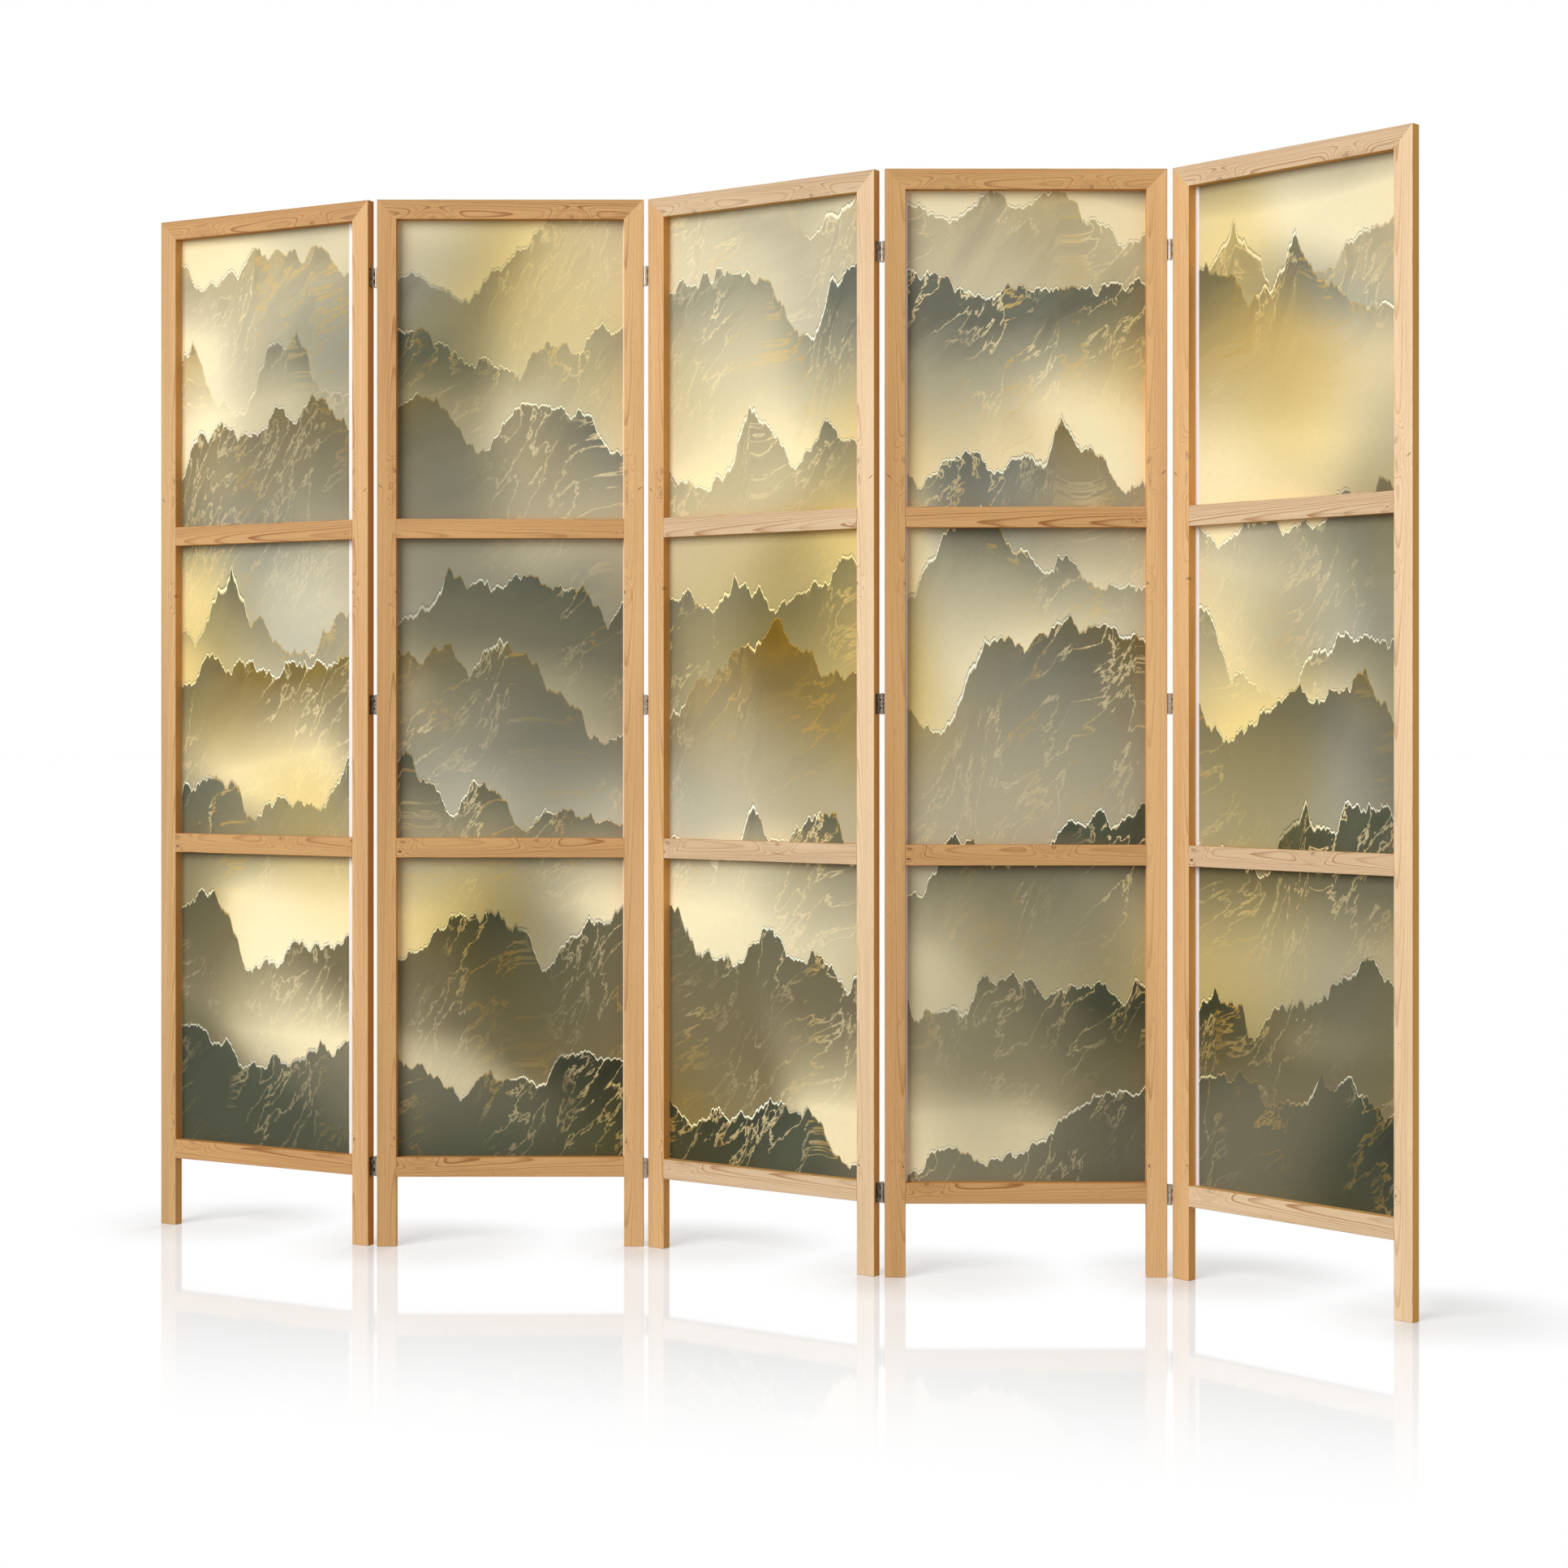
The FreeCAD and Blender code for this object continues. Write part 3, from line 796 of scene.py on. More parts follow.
@dataclass
class RidgeGroup:
    """The shader node group that lays one range of gilt-edged mountains over what lies behind it.

    Its broad, peak and drawn swells are counted along the range to a mountain, and not to a metre.
    """

    palette: PrintPalette
    broad_swells: float = 0.7
    broad_seed: float = 30.0
    plain_detail: float = 1.0
    peak_swells: float = 1.9
    peak_share: float = 2.1
    peak_roughness: float = 0.56
    soft_detail: float = 2.0
    fine_detail: float = 8.0
    step: float = 6.0 * MILLIMETRE
    drawn_swells: Pair = (5.0, 3.0)
    drawn_seed: float = 60.0
    tone_swells: Pair = (2.1, 2.4)
    tone_span: Span = (0.42, 0.6)
    sunny_slopes: Span = (-1.2, 1.2)
    sunny_share: float = 0.2
    bright_span: Span = (0.48, 0.6)
    crag_swells: Pair = (22.0, -11.0)
    crag_fall: float = 15.0
    crag_detail: float = 5.0
    crag_roughness: float = 0.6
    relief: float = 1.6
    relief_middle: float = 0.97
    mist_depth: float = 0.24
    mist_wander: float = 0.3
    mist_share: float = 0.95
    vein_span: Span = (0.004, 0.02)
    vein_places: Span = (0.4, 0.58)
    vein_share: float = 0.8
    vein_light: float = 0.7
    halo_height: float = 0.07
    halo_span: Span = (0.46, 0.62)
    halo_share: float = 0.75
    outline_width: float = 1.5 * MILLIMETRE
    outline_share: float = 0.5
    skyline: Span = (-0.3 * MILLIMETRE, 0.4 * MILLIMETRE)
    line_width: float = 3.6 * MILLIMETRE
    line_inset: float = 0.6 * MILLIMETRE
    line_thin: float = 0.25
    line_core: float = 0.3
    line_places: Span = (0.32, 0.5)
    line_shares: Span = (0.45, 1.0)

    def __post_init__(self) -> None:
        """Build the group."""
        self.graph = graph = Graph.group(
            "print_ridge",
            {
                Kind.VECTOR: ("Place",),
                Kind.VALUE: ("Level", "Rise", "Spread", "Seed", "Gilt"),
                Kind.COLOUR: ("Behind", "Body", "Other", "Mist"),
            },
            {Kind.COLOUR: ("Colour",)},
        )
        self.seed = graph.given("Seed")
        self.spot = graph.separate(graph.given("Place"))
        self.along = graph.product(self.spot["X"], graph.given("Spread"))
        broad_seed = graph.math("ADD", self.seed, self.broad_seed)
        broad_place = graph.combine(graph.product(self.along, self.broad_swells), broad_seed, 0.0)
        self.broad = graph.noise(broad_place, detail=self.plain_detail)
        self.soft_crest = self.crest(self.along, self.soft_detail)
        self.below = graph.math("SUBTRACT", self.crest(self.along, self.fine_detail), self.spot["Y"])
        top = graph.math("MULTIPLY_ADD", self.broad, graph.given("Rise"), graph.given("Level"))
        self.lower = graph.math("SUBTRACT", top, self.spot["Y"])
        climb = self.climb()
        self.steep = graph.math("SQRT", graph.math("MULTIPLY_ADD", climb, climb, 1.0))
        self.tone = self.tones()
        self.drawn = self.strokes()
        sunny = graph.product(graph.between(climb, *self.sunny_slopes), self.sunny_share)
        self.bright = graph.between(graph.math("ADD", self.drawn["Y"], sunny), *self.bright_span)
        mountains = graph.mix(graph.between(self.below, *self.skyline), self.behind(), self.body())
        self.tree = graph.result(Colour=self.rim(mountains))

    def climb(self) -> bpy.types.NodeSocket:
        """Say how steeply the skyline climbs to the right.

        Returns:
            Its rise over a short step, as a share of the step.
        """
        graph = self.graph
        ahead = graph.math("MULTIPLY_ADD", graph.given("Spread"), self.step, self.along)
        rise = graph.math("SUBTRACT", self.crest(ahead, self.soft_detail), self.soft_crest)
        return graph.math("DIVIDE", rise, self.step)

    def tones(self) -> bpy.types.NodeSocket:
        """Give the slow noise that the range's colours, mist and lit air follow."""
        swept = (self.graph.product(self.spot[axis], swells) for axis, swells in zip("XY", self.tone_swells))
        return self.graph.noise(self.graph.combine(*swept, self.seed), detail=self.plain_detail)

    def strokes(self) -> bpy.types.NodeOutputs:
        """Say where the veins are drawn, where the gilt is bright and where its line is strong.

        Returns:
            Three noises from 0 to 1, in this order.
        """
        graph, (across, up) = self.graph, self.drawn_swells
        lift = graph.math("MULTIPLY_ADD", self.spot["Y"], up, self.drawn_seed)
        place = graph.combine(graph.product(self.along, across), graph.math("ADD", self.seed, lift), 0.0)
        return graph.separate(graph.noise(place, output=Noise.TRIPLE))

    def crest(self, along: Feed, detail: float) -> bpy.types.NodeSocket:
        """Give the height of the range's skyline.

        Args:
            along: Place along the range, in mountains.
            detail: How finely the skyline is broken up.

        Returns:
            The height above the floor.
        """
        graph = self.graph
        place = graph.combine(graph.product(along, self.peak_swells), self.seed, 0.0)
        dip = graph.math("ABSOLUTE", graph.centred(graph.noise(place, None, detail, self.peak_roughness)))
        peaks = graph.math("MULTIPLY_ADD", dip, -self.peak_share, self.broad)
        return graph.math("MULTIPLY_ADD", peaks, graph.given("Rise"), graph.given("Level"))

    def body(self) -> bpy.types.NodeSocket:
        """Colour the mountains: crags and gilt veins on their heights, mist lower down.

        Returns:
            Their colours.
        """
        graph, spot, shade = self.graph, self.spot, self.palette
        across, up = (graph.product(spot[axis], swells) for axis, swells in zip("XY", self.crag_swells))
        depth = graph.math("MAXIMUM", graph.math("SUBTRACT", self.soft_crest, spot["Y"]), 0.0)
        leaning = graph.math("MULTIPLY_ADD", depth, self.crag_fall, across)
        slope = graph.combine(leaning, up, self.seed)
        crags = graph.centred(graph.noise(slope, None, self.crag_detail, self.crag_roughness))
        wisp = graph.math("MULTIPLY_ADD", graph.centred(self.tone), self.mist_wander, self.lower)
        low = graph.math("DIVIDE", graph.math("MAXIMUM", wisp, 0.0), -self.mist_depth)
        high = graph.math("EXPONENT", low)
        other = graph.between(self.tone, *self.tone_span)
        colour = graph.mix(other, graph.given("Body"), graph.given("Other"))
        relief = graph.math("MULTIPLY_ADD", graph.product(crags, high), self.relief, self.relief_middle)
        colour = graph.shade(colour, relief)
        colour = graph.mix(graph.product(graph.less(high), self.mist_share), colour, graph.given("Mist"))
        vein = graph.fade(graph.math("ABSOLUTE", crags), *self.vein_span)
        vein = graph.product(vein, high, graph.between(self.drawn["X"], *self.vein_places), self.vein_share)
        gold = graph.mix(graph.product(self.bright, self.vein_light), shade.gilt, shade.cream)
        return graph.mix(vein, colour, gold)

    def behind(self) -> bpy.types.NodeSocket:
        """Light the air between the peaks here and there, and edge the skyline with a thin dark line.

        Returns:
            The colours of what lies behind the mountains.
        """
        graph, shade = self.graph, self.palette
        over = graph.math("MINIMUM", self.lower, 0.0)
        air = graph.math("EXPONENT", graph.math("DIVIDE", over, self.halo_height))
        halo = graph.product(air, graph.between(self.tone, *self.halo_span), self.halo_share)
        outward = graph.math("DIVIDE", self.below, self.steep)
        outline = graph.between(outward, -self.outline_width, 0.0)
        return graph.mix(
            graph.product(outline, self.bright, self.outline_share),
            graph.mix(halo, graph.given("Behind"), shade.cream),
            shade.deep,
        )

    def rim(self, colour: Feed) -> bpy.types.NodeSocket:
        """Draw the gilt line of the skyline, broad and bright here, thin and dark there.

        Args:
            colour: The colours that it is drawn on.

        Returns:
            The colours with the line.
        """
        graph, shade = self.graph, self.palette
        inward = graph.math("SUBTRACT", graph.math("DIVIDE", self.below, self.steep), self.line_inset)
        width = graph.spread(self.bright, self.line_thin * self.line_width, self.line_width)
        line = graph.product(
            graph.between(inward, -self.line_inset, 0.0),
            graph.fade(inward, graph.product(width, self.line_core), width),
            graph.spread(graph.between(self.drawn["Z"], *self.line_places), *self.line_shares),
            graph.given("Gilt"),
        )
        return graph.mix(line, colour, graph.mix(self.bright, shade.gilt, shade.glow))


@dataclass
class PrintGroups:
    """Shader node groups for the sheets: mountains in mist, and the cloth that they are printed on.

    The upper and lower tones are each a slope and a start, by which the print's contrast grows.
    """

    palette: PrintPalette = PrintPalette()
    sky: Span = (1.2, 1.62)
    shine_place: Place = (0.615, 1.365, 0.0)
    shine_reach: float = 0.26
    shine_share: float = 1.3
    pool_swells: Place = (1.9, 1.6, 1.0)
    pool_detail: float = 1.0
    gold_span: Span = (0.46, 0.64)
    gold_share: float = 0.8
    light_span: Span = (0.52, 0.7)
    light_share: float = 0.3
    gloom_span: Span = (0.34, 0.5)
    gloom_share: float = 0.4
    upper_tones: Pair = (0.92, 0.54)
    lower_tones: Pair = (-2.2, 1.2)
    most_light: float = 1.15
    grit_swells: Place = (700.0, 700.0, 1.0)
    grit_roughness: float = 0.7
    grit_shades: Span = (0.8, 1.2)
    thread_swells: Pair = (1500.0, 260.0)
    clump_swells: Place = (90.0, 90.0, 1.0)
    clump_detail: float = 3.0
    clump_height: float = 0.4
    clump_shades: Span = (0.97, 1.03)
    weave_shades: Span = (0.9, 1.08)
    roughness: Span = (0.72, 0.95)

    def __post_init__(self) -> None:
        """Build the groups."""
        self.ridge = RidgeGroup(self.palette).tree
        self.print = self.build_print()
        self.cloth = self.build_cloth()

    def ridges(self) -> tuple[Ridge, ...]:
        """List the ranges from far to near.

        Returns:
            The ranges.
        """
        shade = self.palette
        return (
            Ridge(1.36, 0.44, 1.1, 1.3, shade.pale_sage, shade.tan, shade.mist, 0.7),
            Ridge(1.20, 0.50, 1.2, 2.9, shade.sage, shade.ochre, shade.cream, 0.9),
            Ridge(1.00, 0.54, 1.0, 4.1, shade.sage, shade.moss_gold, shade.mist, 1.0),
            Ridge(0.82, 0.50, 1.3, 5.7, shade.olive, shade.sage, shade.cream, 1.0),
            Ridge(0.64, 0.54, 1.1, 7.2, shade.moss_gold, shade.olive, shade.mist, 1.0),
            Ridge(0.46, 0.50, 1.2, 8.8, shade.olive, shade.sage, shade.cream, 1.0),
            Ridge(0.29, 0.46, 1.3, 12.1, shade.deep, shade.olive, shade.tan, 1.0),
            Ridge(0.12, 0.36, 1.4, 15.2, shade.deep, shade.olive, shade.olive, 1.0),
        )

    def build_print(self) -> bpy.types.NodeTree:
        """Make the group that holds the whole print, laid out across the five sheets.

        Returns:
            The group, with the output Colour.
        """
        graph = Graph.group("mountain_print", {Kind.VECTOR: ("Place",)}, {Kind.COLOUR: ("Colour",)})
        place, shade = graph.given("Place"), self.palette
        colour = graph.mix(graph.between(graph.separate(place)["Y"], *self.sky), shade.mist, shade.sage)
        gap = graph.vector("LENGTH", graph.vector("SUBTRACT", place, self.shine_place))
        shine = graph.math("EXPONENT", graph.math("DIVIDE", gap, -self.shine_reach))
        colour = graph.mix(graph.product(shine, self.shine_share), colour, shade.cream)
        for ridge in self.ridges():
            colour = graph.use(self.ridge, {
                "Behind": colour, "Place": place, "Level": ridge.level, "Rise": ridge.rise,
                "Spread": ridge.spread, "Seed": ridge.seed, "Body": ridge.body, "Other": ridge.other,
                "Mist": ridge.mist, "Gilt": ridge.gilt,
            })["Colour"]
        pool = graph.separate(graph.noise(place, self.pool_swells, self.pool_detail, output=Noise.TRIPLE))
        gold = graph.product(graph.between(pool["X"], *self.gold_span), self.gold_share)
        colour = graph.mix(gold, colour, graph.tint(colour, shade.gold_wash))
        light = graph.product(graph.between(pool["Y"], *self.light_span), self.light_share)
        colour = graph.mix(light, colour, shade.cream)
        gloom = graph.product(graph.fade(pool["Z"], *self.gloom_span), self.gloom_share)
        colour = graph.mix(gloom, colour, shade.olive)
        colour = graph.shade(colour, self.contrast(graph, colour))
        grit = graph.noise(place, self.grit_swells, roughness=self.grit_roughness)
        return graph.result(Colour=graph.shade(colour, graph.spread(grit, *self.grit_shades)))

    def contrast(self, graph: Graph, colour: Feed) -> bpy.types.NodeSocket:
        """Say how far a colour is darkened or lightened, to draw the print's lights out of its middle tones.

        Args:
            graph: The graph of the print.
            colour: The colour before.

        Returns:
            The factor for the colour.
        """
        light = graph.add("ShaderNodeRGBToBW", {"Color": colour}).outputs[0]
        upper = graph.math("MULTIPLY_ADD", light, *self.upper_tones)
        lower = graph.math("MULTIPLY_ADD", light, *self.lower_tones)
        return graph.math("MINIMUM", graph.math("MAXIMUM", upper, lower), self.most_light)

    def build_cloth(self) -> bpy.types.NodeTree:
        """Make the group for the bonded cloth's embossed fibres.

        Returns:
            The group, with outputs Shade, Height and Roughness.
        """
        graph = Graph.group(
            "bonded_cloth", {Kind.VECTOR: ("Place",)}, {Kind.VALUE: ("Shade", "Height", "Roughness")}
        )
        place, (fine, coarse) = graph.given("Place"), self.thread_swells
        upright = graph.noise(place, (fine, coarse, 1.0))
        level = graph.noise(place, (coarse, fine, 1.0))
        weave = graph.math("MAXIMUM", upright, level)
        clumps = graph.noise(place, self.clump_swells, self.clump_detail)
        mottle = graph.spread(clumps, *self.clump_shades)
        return graph.result(
            Shade=graph.product(graph.spread(weave, *self.weave_shades), mottle),
            Height=graph.math("MULTIPLY_ADD", clumps, self.clump_height, weave),
            Roughness=graph.spread(weave, *self.roughness),
        )


@dataclass
class PrintedSheet:
    """The printed sheet of one panel, stretched flat over the frame's back and stapled there."""

    panel: Panel
    groups: PrintGroups
    pitch: float
    margins: Pair
    cell: float = 0.007
    slack: float = 1.4 * MILLIMETRE
    slack_shares: Span = (0.5, 1.0)
    leans: Span = (0.7, 1.5)
    pucker: float = 0.35 * MILLIMETRE
    pucker_reach: float = 0.030
    staples_per_side: int = 3
    seat: float = 0.03 * MILLIMETRE
    first_seed: int = 100
    smooth_angle: float = math.radians(40)
    print_edge: float = 0.2 * MILLIMETRE
    paper_white: Colour = srgb(240, 240, 242)
    back_white: Colour = srgb(238, 236, 231)
    show_through: float = 0.13
    fibre_bump: float = 0.25
    fibre_relief: float = 0.15 * MILLIMETRE
    gloss: float = 0.25
    sheen: float = 0.06
    map_name: str = "print_place"

    def __post_init__(self) -> None:
        """Measure the sheet and its windows on the frame."""
        self.low, self.high = self.panel.box("printed_sheet")
        self.size = self.high - self.low
        rails = [self.panel.box(rail) for rail in RAILS]
        self.windows = [(below[1].z, above[0].z) for below, above in zip(rails, rails[1:])]
        self.sides = (self.panel.box("left_stile")[1].x, self.panel.box("right_stile")[0].x)
        self.start = (self.panel.number - 1) * self.pitch
        self.draw = random.Random(self.first_seed + self.panel.number)

    def build(self) -> bpy.types.Object:
        """Model the sheet, dress it and fix it to its panel.

        Returns:
            The sheet.
        """
        sheet = self.grid()
        self.place_print(sheet)
        self.slacken(sheet)
        for side in Side:
            sheet.data.materials.append(self.material(side))
        self.thicken(sheet)
        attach(sheet, self.panel.body)
        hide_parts(self.panel.node("printed_sheet"))
        [self.panel.node(piece) for piece in (*STILES, *RAILS)]
        return sheet

    def grid(self) -> bpy.types.Object:
        """Lay out the sheet's front face as a grid of small squares.

        Returns:
            The grid, upright on the panel's back, facing its front.
        """
        bpy.ops.object.select_all(action="DESELECT")
        middle = (self.low + self.high) / 2
        middle.y = self.low.y + self.seat
        bpy.ops.mesh.primitive_grid_add(
            x_subdivisions=round(self.size.x / self.cell),
            y_subdivisions=round(self.size.z / self.cell),
            size=1.0,
            location=self.panel.outside(middle),
            rotation=(math.pi / 2, 0.0, self.panel.turn.to_euler("XYZ").z),
        )
        sheet = bpy.context.object
        sheet.name = f"{self.panel.body}_sheet"
        sheet.scale = (self.size.x, self.size.z, 1.0)
        bpy.ops.object.transform_apply(location=True, rotation=True, scale=True)
        return sheet

    def place_print(self, sheet: bpy.types.Object) -> None:
        """Map the sheet in metres, so that the print runs on from panel to panel.

        Args:
            sheet: The sheet's front face.
        """
        layer = sheet.data.uv_layers.active
        layer.name = self.map_name
        for loop in sheet.data.loops:
            spot = self.panel.inside(sheet.data.vertices[loop.vertex_index].co)
            layer.data[loop.index].uv = (self.start + spot.x, spot.z)

    def slacken(self, sheet: bpy.types.Object) -> None:
        """Let the sheet belly a little inside each window and pucker beside its staples.

        Args:
            sheet: The sheet's front face.
        """
        left, right = self.sides
        belly = [self.draw.uniform(*self.slack_shares) * self.slack for _ in self.windows]
        lean = [self.draw.uniform(*self.leans) for _ in self.windows]
        for vertex in sheet.data.vertices:
            spot = self.panel.inside(vertex.co)
            for (bottom, top), deep, skew in zip(self.windows, belly, lean):
                if not (left < spot.x < right and bottom < spot.z < top):
                    continue
                across = (spot.x - left) / (right - left)
                up = (spot.z - bottom) / (top - bottom)
                rise = deep * math.sin(math.pi * across) * math.sin(math.pi * up ** skew)
                edge = min(spot.x - left, right - spot.x)
                ripple = math.sin(math.pi * self.staples_per_side * up) ** 2
                near = math.exp(-edge / self.pucker_reach) * min(1.0, edge / self.cell)
                spot.y -= rise + self.pucker * ripple * near
            vertex.co = self.panel.outside(spot)

    def thicken(self, sheet: bpy.types.Object) -> None:
        """Give the sheet its thickness behind its printed face.

        Args:
            sheet: The sheet's front face.
        """
        bpy.ops.object.select_all(action="DESELECT")
        sheet.select_set(True)
        bpy.context.view_layer.objects.active = sheet
        wall = sheet.modifiers.new("thickness", "SOLIDIFY")
        wall.thickness = self.size.y
        wall.offset = -1.0
        wall.material_offset = Side.BACK.value
        wall.material_offset_rim = Side.BACK.value
        bpy.ops.object.modifier_apply(modifier=wall.name)
        bpy.ops.object.shade_smooth_by_angle(angle=self.smooth_angle)

    def material(self, side: Side) -> bpy.types.Material:
        """Make the cloth of one face.

        Args:
            side: Which face of the sheet.

        Returns:
            Its material.
        """
        graph, made = Graph.material(f"{self.panel.body}_sheet_{side.name.lower()}")
        place = graph.add("ShaderNodeUVMap", uv_map=self.map_name).outputs[0]
        cloth = graph.use(self.groups.cloth, {"Place": place})
        picture = graph.use(self.groups.print, {"Place": place})["Colour"]
        if side is Side.FRONT:
            along = graph.separate(place)["X"]
            first = self.start + self.sides[0] + self.margins[0]
            last = self.start + self.sides[1] - self.margins[1]
            printed = graph.product(
                graph.between(along, first - self.print_edge, first + self.print_edge),
                graph.fade(along, last - self.print_edge, last + self.print_edge),
            )
            colour = graph.mix(printed, self.paper_white, picture)
        else:
            colour = graph.mix(self.show_through, self.back_white, picture)
        graph.surface({
            "Base Color": graph.shade(colour, cloth["Shade"]),
            "Roughness": cloth["Roughness"],
            "Normal": graph.bump(cloth["Height"], self.fibre_bump, self.fibre_relief),
            "Specular IOR Level": self.gloss,
            "Sheen Weight": self.sheen,
        })
        return made


@dataclass(frozen=True)
class MetalFinish:
    """A plated or drawn metal and how worn it is."""

    name: str
    bright: Colour
    tarnish: Colour
    roughness: Span
    wear: float


class Metal(Enum):
    """The metals of the fittings."""

    NICKEL = MetalFinish(
        name="hinge_nickel",
        bright=srgb(166, 155, 143),
        tarnish=srgb(104, 94, 84),
        roughness=(0.16, 0.36),
        wear=0.6,
    )
    ZINC = MetalFinish(
        name="screw_zinc",
        bright=srgb(172, 166, 156),
        tarnish=srgb(118, 110, 100),
        roughness=(0.24, 0.46),
        wear=0.6,
    )
    STEEL = MetalFinish(
        name="staple_steel",
        bright=srgb(186, 186, 184),
        tarnish=srgb(132, 128, 122),
        roughness=(0.3, 0.5),
        wear=0.7,
    )


METAL_PIECES: dict[str, Metal] = {
    "left_hinge_leaves": Metal.NICKEL,
    "right_hinge_leaves": Metal.NICKEL,
    "hinge_pins": Metal.NICKEL,
    "hinge_screws": Metal.ZINC,
    "staples": Metal.STEEL,
}


@dataclass
class Fittings:
    """Hinges, screws, staples and dowels, which keep their solids and get their finishes."""

    wood: WoodGroups
    spot_swells: Place = (150.0, 150.0, 150.0)
    spot_detail: float = 4.0
    spot_roughness: float = 0.6
    spot_span: Span = (0.42, 0.72)
    scratch_swells: Place = (2600.0, 2600.0, 160.0)
    scratch_bump: float = 0.12
    scratch_relief: float = 0.05 * MILLIMETRE
    dull_share: float = 0.7
    scratch_share: float = 0.3
    peg_pith: Place = (0.0, 0.6, 0.0)
    peg_seed: float = 3.0
    peg_bump: float = 0.2
    peg_relief: float = 0.2 * MILLIMETRE

    def __post_init__(self) -> None:
        """Build the finishes."""
        self.wear = self.build_wear()
        self.metals = {metal: self.metal(metal.value) for metal in Metal}
        self.peg = self.beech()

    def build_wear(self) -> bpy.types.NodeTree:
        """Make the group for tarnish spots and fine scratches on metal.

        Returns:
            The group, with outputs Tarnish and Scratch.
        """
        graph = Graph.group("metal_wear", {Kind.VECTOR: ("Place",)}, {Kind.VALUE: ("Tarnish", "Scratch")})
        place = graph.given("Place")
        spots = graph.noise(place, self.spot_swells, self.spot_detail, self.spot_roughness)
        return graph.result(
            Tarnish=graph.between(spots, *self.spot_span), Scratch=graph.noise(place, self.scratch_swells)
        )

    def metal(self, finish: MetalFinish) -> bpy.types.Material:
        """Make a metal.

        Args:
            finish: Its colours and wear.

        Returns:
            Its material.
        """
        graph, made = Graph.material(finish.name)
        wear = graph.use(self.wear, {"Place": graph.add("ShaderNodeTexCoord").outputs["Object"]})
        dull = graph.product(wear["Tarnish"], finish.wear)
        scratched = graph.product(wear["Scratch"], self.scratch_share)
        graph.surface({
            "Base Color": graph.mix(dull, finish.bright, finish.tarnish),
            "Metallic": 1.0,
            "Roughness": graph.spread(
                graph.math("MULTIPLY_ADD", dull, self.dull_share, scratched), *finish.roughness
            ),
            "Normal": graph.bump(wear["Scratch"], self.scratch_bump, self.scratch_relief),
        })
        return made

    def beech(self) -> bpy.types.Material:
        """Make the dowels' beech.

        Returns:
            Its material.
        """
        graph, made = Graph.material("dowel_beech")
        board = Board.BEECH.value
        grain = graph.use(self.wood.grain, {
            "Place": graph.add("ShaderNodeTexCoord").outputs["Object"], "Pith": self.peg_pith,
            "Seed": self.peg_seed, "Ring": board.ring, "Taper": board.taper,
            "Figure": 1.0, "Bend": 0.0, "Core": 0.0, "Side Shade": 0.0, "Early": board.early, "Late": board.late,
            "Edge Tint": board.outer_side_shade, "Knot": board.knot,
        })
        graph.surface({
            "Base Color": grain["Colour"],
            "Roughness": grain["Roughness"],
            "Normal": graph.bump(grain["Height"], self.peg_bump, self.peg_relief),
        })
        return made

    def dress(self, panel: Panel) -> list[bpy.types.Object]:
        """Finish the fittings of one panel.

        Args:
            panel: The panel that carries them.

        Returns:
            The fittings.
        """
        pieces = [dress(panel.node("dowels"), self.peg)]
        for piece, metal in METAL_PIECES.items():
            if panel.node(piece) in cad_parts:
                pieces.append(dress(panel.node(piece), self.metals[metal]))
        return pieces


@dataclass(frozen=True)
class Lamp:
    """A large soft lamp with a square face: where it hangs, the length of its side and its power in watts."""

    name: str
    place: Place
    side: float
    power: float


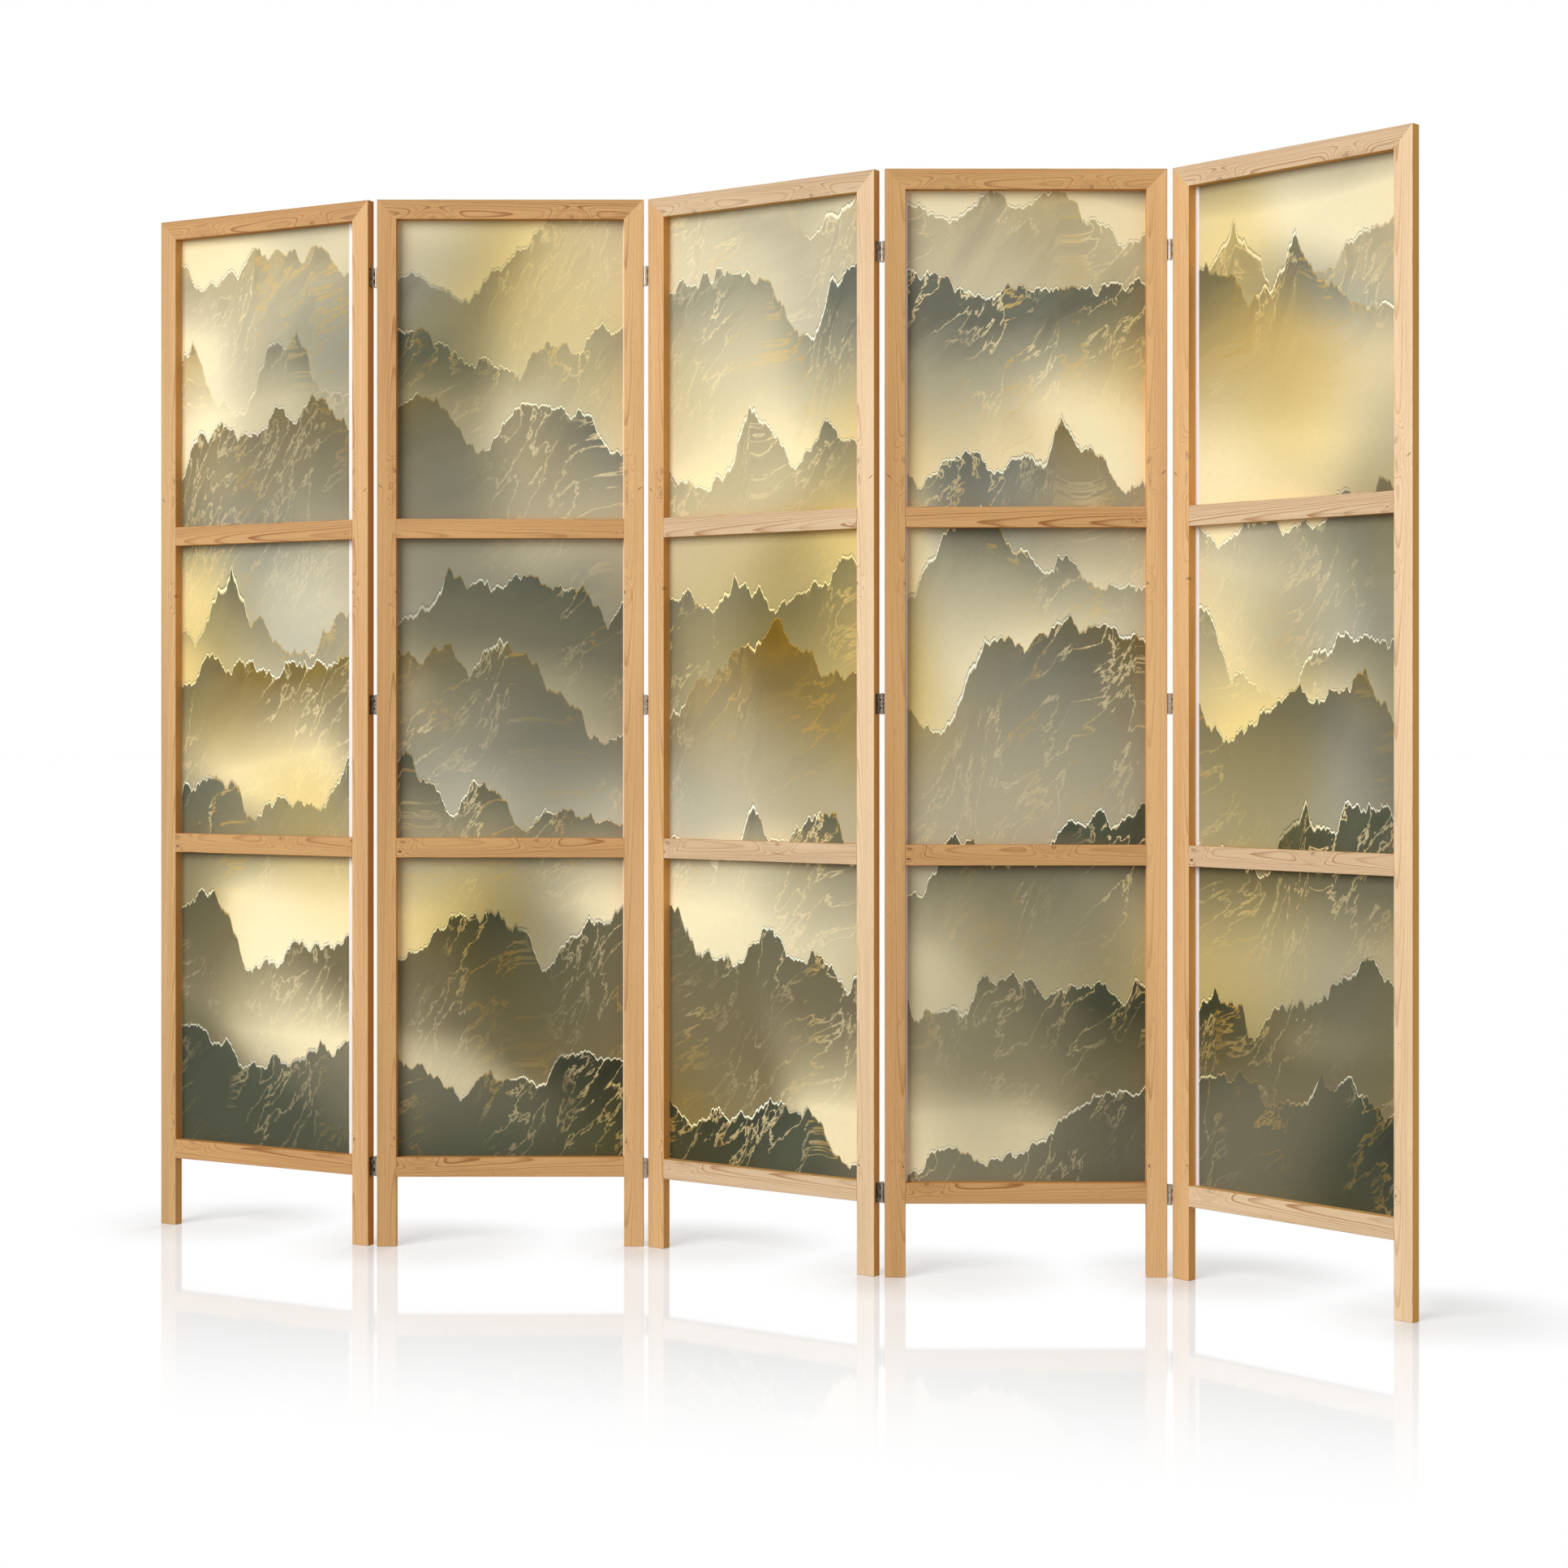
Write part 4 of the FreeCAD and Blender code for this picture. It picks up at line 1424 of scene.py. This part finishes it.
@dataclass
class Studio:
    """Pale floor, white surround, soft light and the camera."""

    image_side: int = 1932
    horizon_row: int = 890
    lens: float = 63.0
    sensor: float = 36.0
    camera_place: Place = (0.074, -4.055, 0.806)
    floor_side: float = 120.0
    floor_grey: Colour = srgb(192, 192, 192)
    floor_pale: Colour = srgb(224, 224, 224)
    floor_glow: float = 0.2
    floor_gloss: float = 0.26
    floor_roughness: float = 0.05
    shade_reach: Span = (0.05, 0.24)
    shade_lean: Place = (0.07, 0.02, 0.0)
    gloss_reach: Span = (0.2, 1.05)
    surround: float = 0.31
    lamps: tuple[Lamp, ...] = (
        Lamp("key_lamp", place=(-5.2, -5.6, 4.8), side=6.0, power=630.0),
        Lamp("fill_lamp", place=(4.5, -5.0, 2.6), side=4.0, power=40.0),
        Lamp("back_lamp", place=(2.5, 7.0, 4.5), side=5.0, power=260.0),
    )
    aim: Place = (0.0, 0.0, 0.75)

    def build(self, panels: list[Panel]) -> None:
        """Set up everything round the object.

        Args:
            panels: The panels, whose feet shade the floor.
        """
        self.floor(panels)
        self.world()
        for lamp in self.lamps:
            self.hang(lamp)
        self.camera()
        bpy.context.scene.view_settings.view_transform = "Standard"

    def seen(self, graph: Graph) -> bpy.types.NodeSocket:
        """Tell the rays that show the surround, straight, in a gloss or through glass, from those that light.

        Args:
            graph: The graph of the surround.

        Returns:
            1 for a ray that shows it, 0 for one that lights.
        """
        path = graph.add("ShaderNodeLightPath").outputs
        shown = graph.math("MAXIMUM", path["Is Camera Ray"], path["Is Glossy Ray"])
        return graph.math("MAXIMUM", shown, path["Is Transmission Ray"])

    def near_feet(self, graph: Graph, place: Feed, panels: list[Panel]) -> Feed:
        """Mark the floor beside the feet, where their shadows fall.

        Args:
            graph: The graph of the floor.
            place: A place on the floor.
            panels: The panels that stand on it.

        Returns:
            1 beside a foot, 0 away from all of them.
        """
        near = 0.0
        for panel in panels:
            for stile in STILES:
                low, high = panel.box(stile)
                foot = panel.outside((low + high) / 2)
                spot = Vector((foot.x, foot.y, 0.0)) + Vector(self.shade_lean)
                gap = graph.vector("LENGTH", graph.vector("SUBTRACT", place, spot))
                near = graph.math("MAXIMUM", graph.fade(gap, *self.shade_reach), near)
        return near

    def floor(self, panels: list[Panel]) -> None:
        """Lay a pale, faintly glossy floor that turns into the white surround away from the feet.

        Args:
            panels: The panels, whose feet shade the floor.
        """
        bpy.ops.object.select_all(action="DESELECT")
        bpy.ops.mesh.primitive_plane_add(size=self.floor_side)
        floor = bpy.context.object
        floor.name = "studio_floor"
        graph, made = Graph.material("studio_floor")
        place = graph.add("ShaderNodeTexCoord").outputs["Object"]
        matt = graph.add("ShaderNodeBsdfDiffuse", {"Color": self.floor_grey}).outputs[0]
        pale = graph.add("ShaderNodeBsdfDiffuse", {"Color": self.floor_pale}).outputs[0]
        dim = graph.add("ShaderNodeEmission", {"Strength": self.floor_glow}).outputs[0]
        white = graph.add("ShaderNodeEmission", {"Strength": 1.0}).outputs[0]
        gloss = {"Color": WHITE, "Roughness": self.floor_roughness}
        shine = graph.add("ShaderNodeBsdfGlossy", gloss).outputs[0]
        lit = graph.add("ShaderNodeAddShader", {0: pale, 1: dim}).outputs[0]
        near = self.near_feet(graph, place, panels)
        shaded = graph.add("ShaderNodeMixShader", {0: near, 1: white, 2: lit}).outputs[0]
        ends = [panel.outside(Vector()) for panel in (panels[0], panels[-1])]
        forward = (ends[1] - ends[0]).cross(Vector((0, 0, 1))).normalized()
        ahead = graph.vector("DOT_PRODUCT", place, forward)
        polish = graph.product(graph.fade(ahead, *self.gloss_reach), self.floor_gloss)
        polished = graph.add("ShaderNodeMixShader", {0: polish, 1: shaded, 2: shine}).outputs[0]
        mixed = graph.add("ShaderNodeMixShader", {0: self.seen(graph), 1: matt, 2: polished}).outputs[0]
        graph.add("ShaderNodeOutputMaterial", {"Surface": mixed})
        floor.data.materials.append(made)

    def world(self) -> None:
        """Surround the scene with white, which lights it more softly than it shows."""
        world = bpy.data.worlds.new("studio")
        world.use_nodes = True
        world.node_tree.nodes.clear()
        graph = Graph(world.node_tree)
        strength = graph.spread(self.seen(graph), self.surround, 1.0)
        light = graph.add("ShaderNodeBackground", {"Color": WHITE, "Strength": strength})
        graph.add("ShaderNodeOutputWorld", {"Surface": light.outputs[0]})
        bpy.context.scene.world = world

    def hang(self, lamp: Lamp) -> None:
        """Hang a lamp and aim it at the object.

        Args:
            lamp: The lamp.
        """
        data = bpy.data.lights.new(lamp.name, "AREA")
        data.size = lamp.side
        data.energy = lamp.power
        hung = bpy.data.objects.new(lamp.name, data)
        hung.location = lamp.place
        hung.rotation_euler = (Vector(self.aim) - Vector(lamp.place)).to_track_quat("-Z", "Y").to_euler()
        bpy.context.scene.collection.objects.link(hung)

    def camera(self) -> None:
        """Stand the camera level, with the photograph's horizon."""
        data = bpy.data.cameras.new("camera")
        data.lens = self.lens
        data.sensor_width = self.sensor
        data.shift_y = (self.horizon_row - self.image_side / 2) / self.image_side
        camera = bpy.data.objects.new("camera", data)
        camera.location = self.camera_place
        camera.rotation_euler = (math.pi / 2, 0.0, 0.0)
        bpy.context.scene.collection.objects.link(camera)
        bpy.context.scene.camera = camera


# Bare margins of the print beside each panel's left stile and right stile
MARGINS: dict[int, Pair] = {
    1: (0.0, 0.0175),
    2: (0.0, 0.0022),
    3: (0.0, 0.0),
    4: (0.0035, 0.0),
    5: (0.0062, 0.0),
}


def main() -> None:
    """Dress the frames, model the sheets, report each piece and set up the studio."""
    logging.basicConfig(level=logging.INFO, format="%(message)s")
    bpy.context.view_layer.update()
    wood, prints = WoodGroups(), PrintGroups()
    fittings = Fittings(wood)
    panels = [Panel.from_frame(number) for number in PANELS]
    pitch = panels[0].box("right_stile")[1].x + HINGE_GAP
    for panel in panels:
        bars = PineFrame(panel, wood).dress()
        fixings = fittings.dress(panel)
        sheet = PrintedSheet(panel, prints, pitch, MARGINS[panel.number]).build()
        for piece in (*bars, *fixings, sheet):
            LOG.info("%s finished in %s", piece.name, piece.data.materials[0].name)
    Studio().build(panels)
    bpy.context.view_layer.update()


if __name__ == "__main__":
    main()
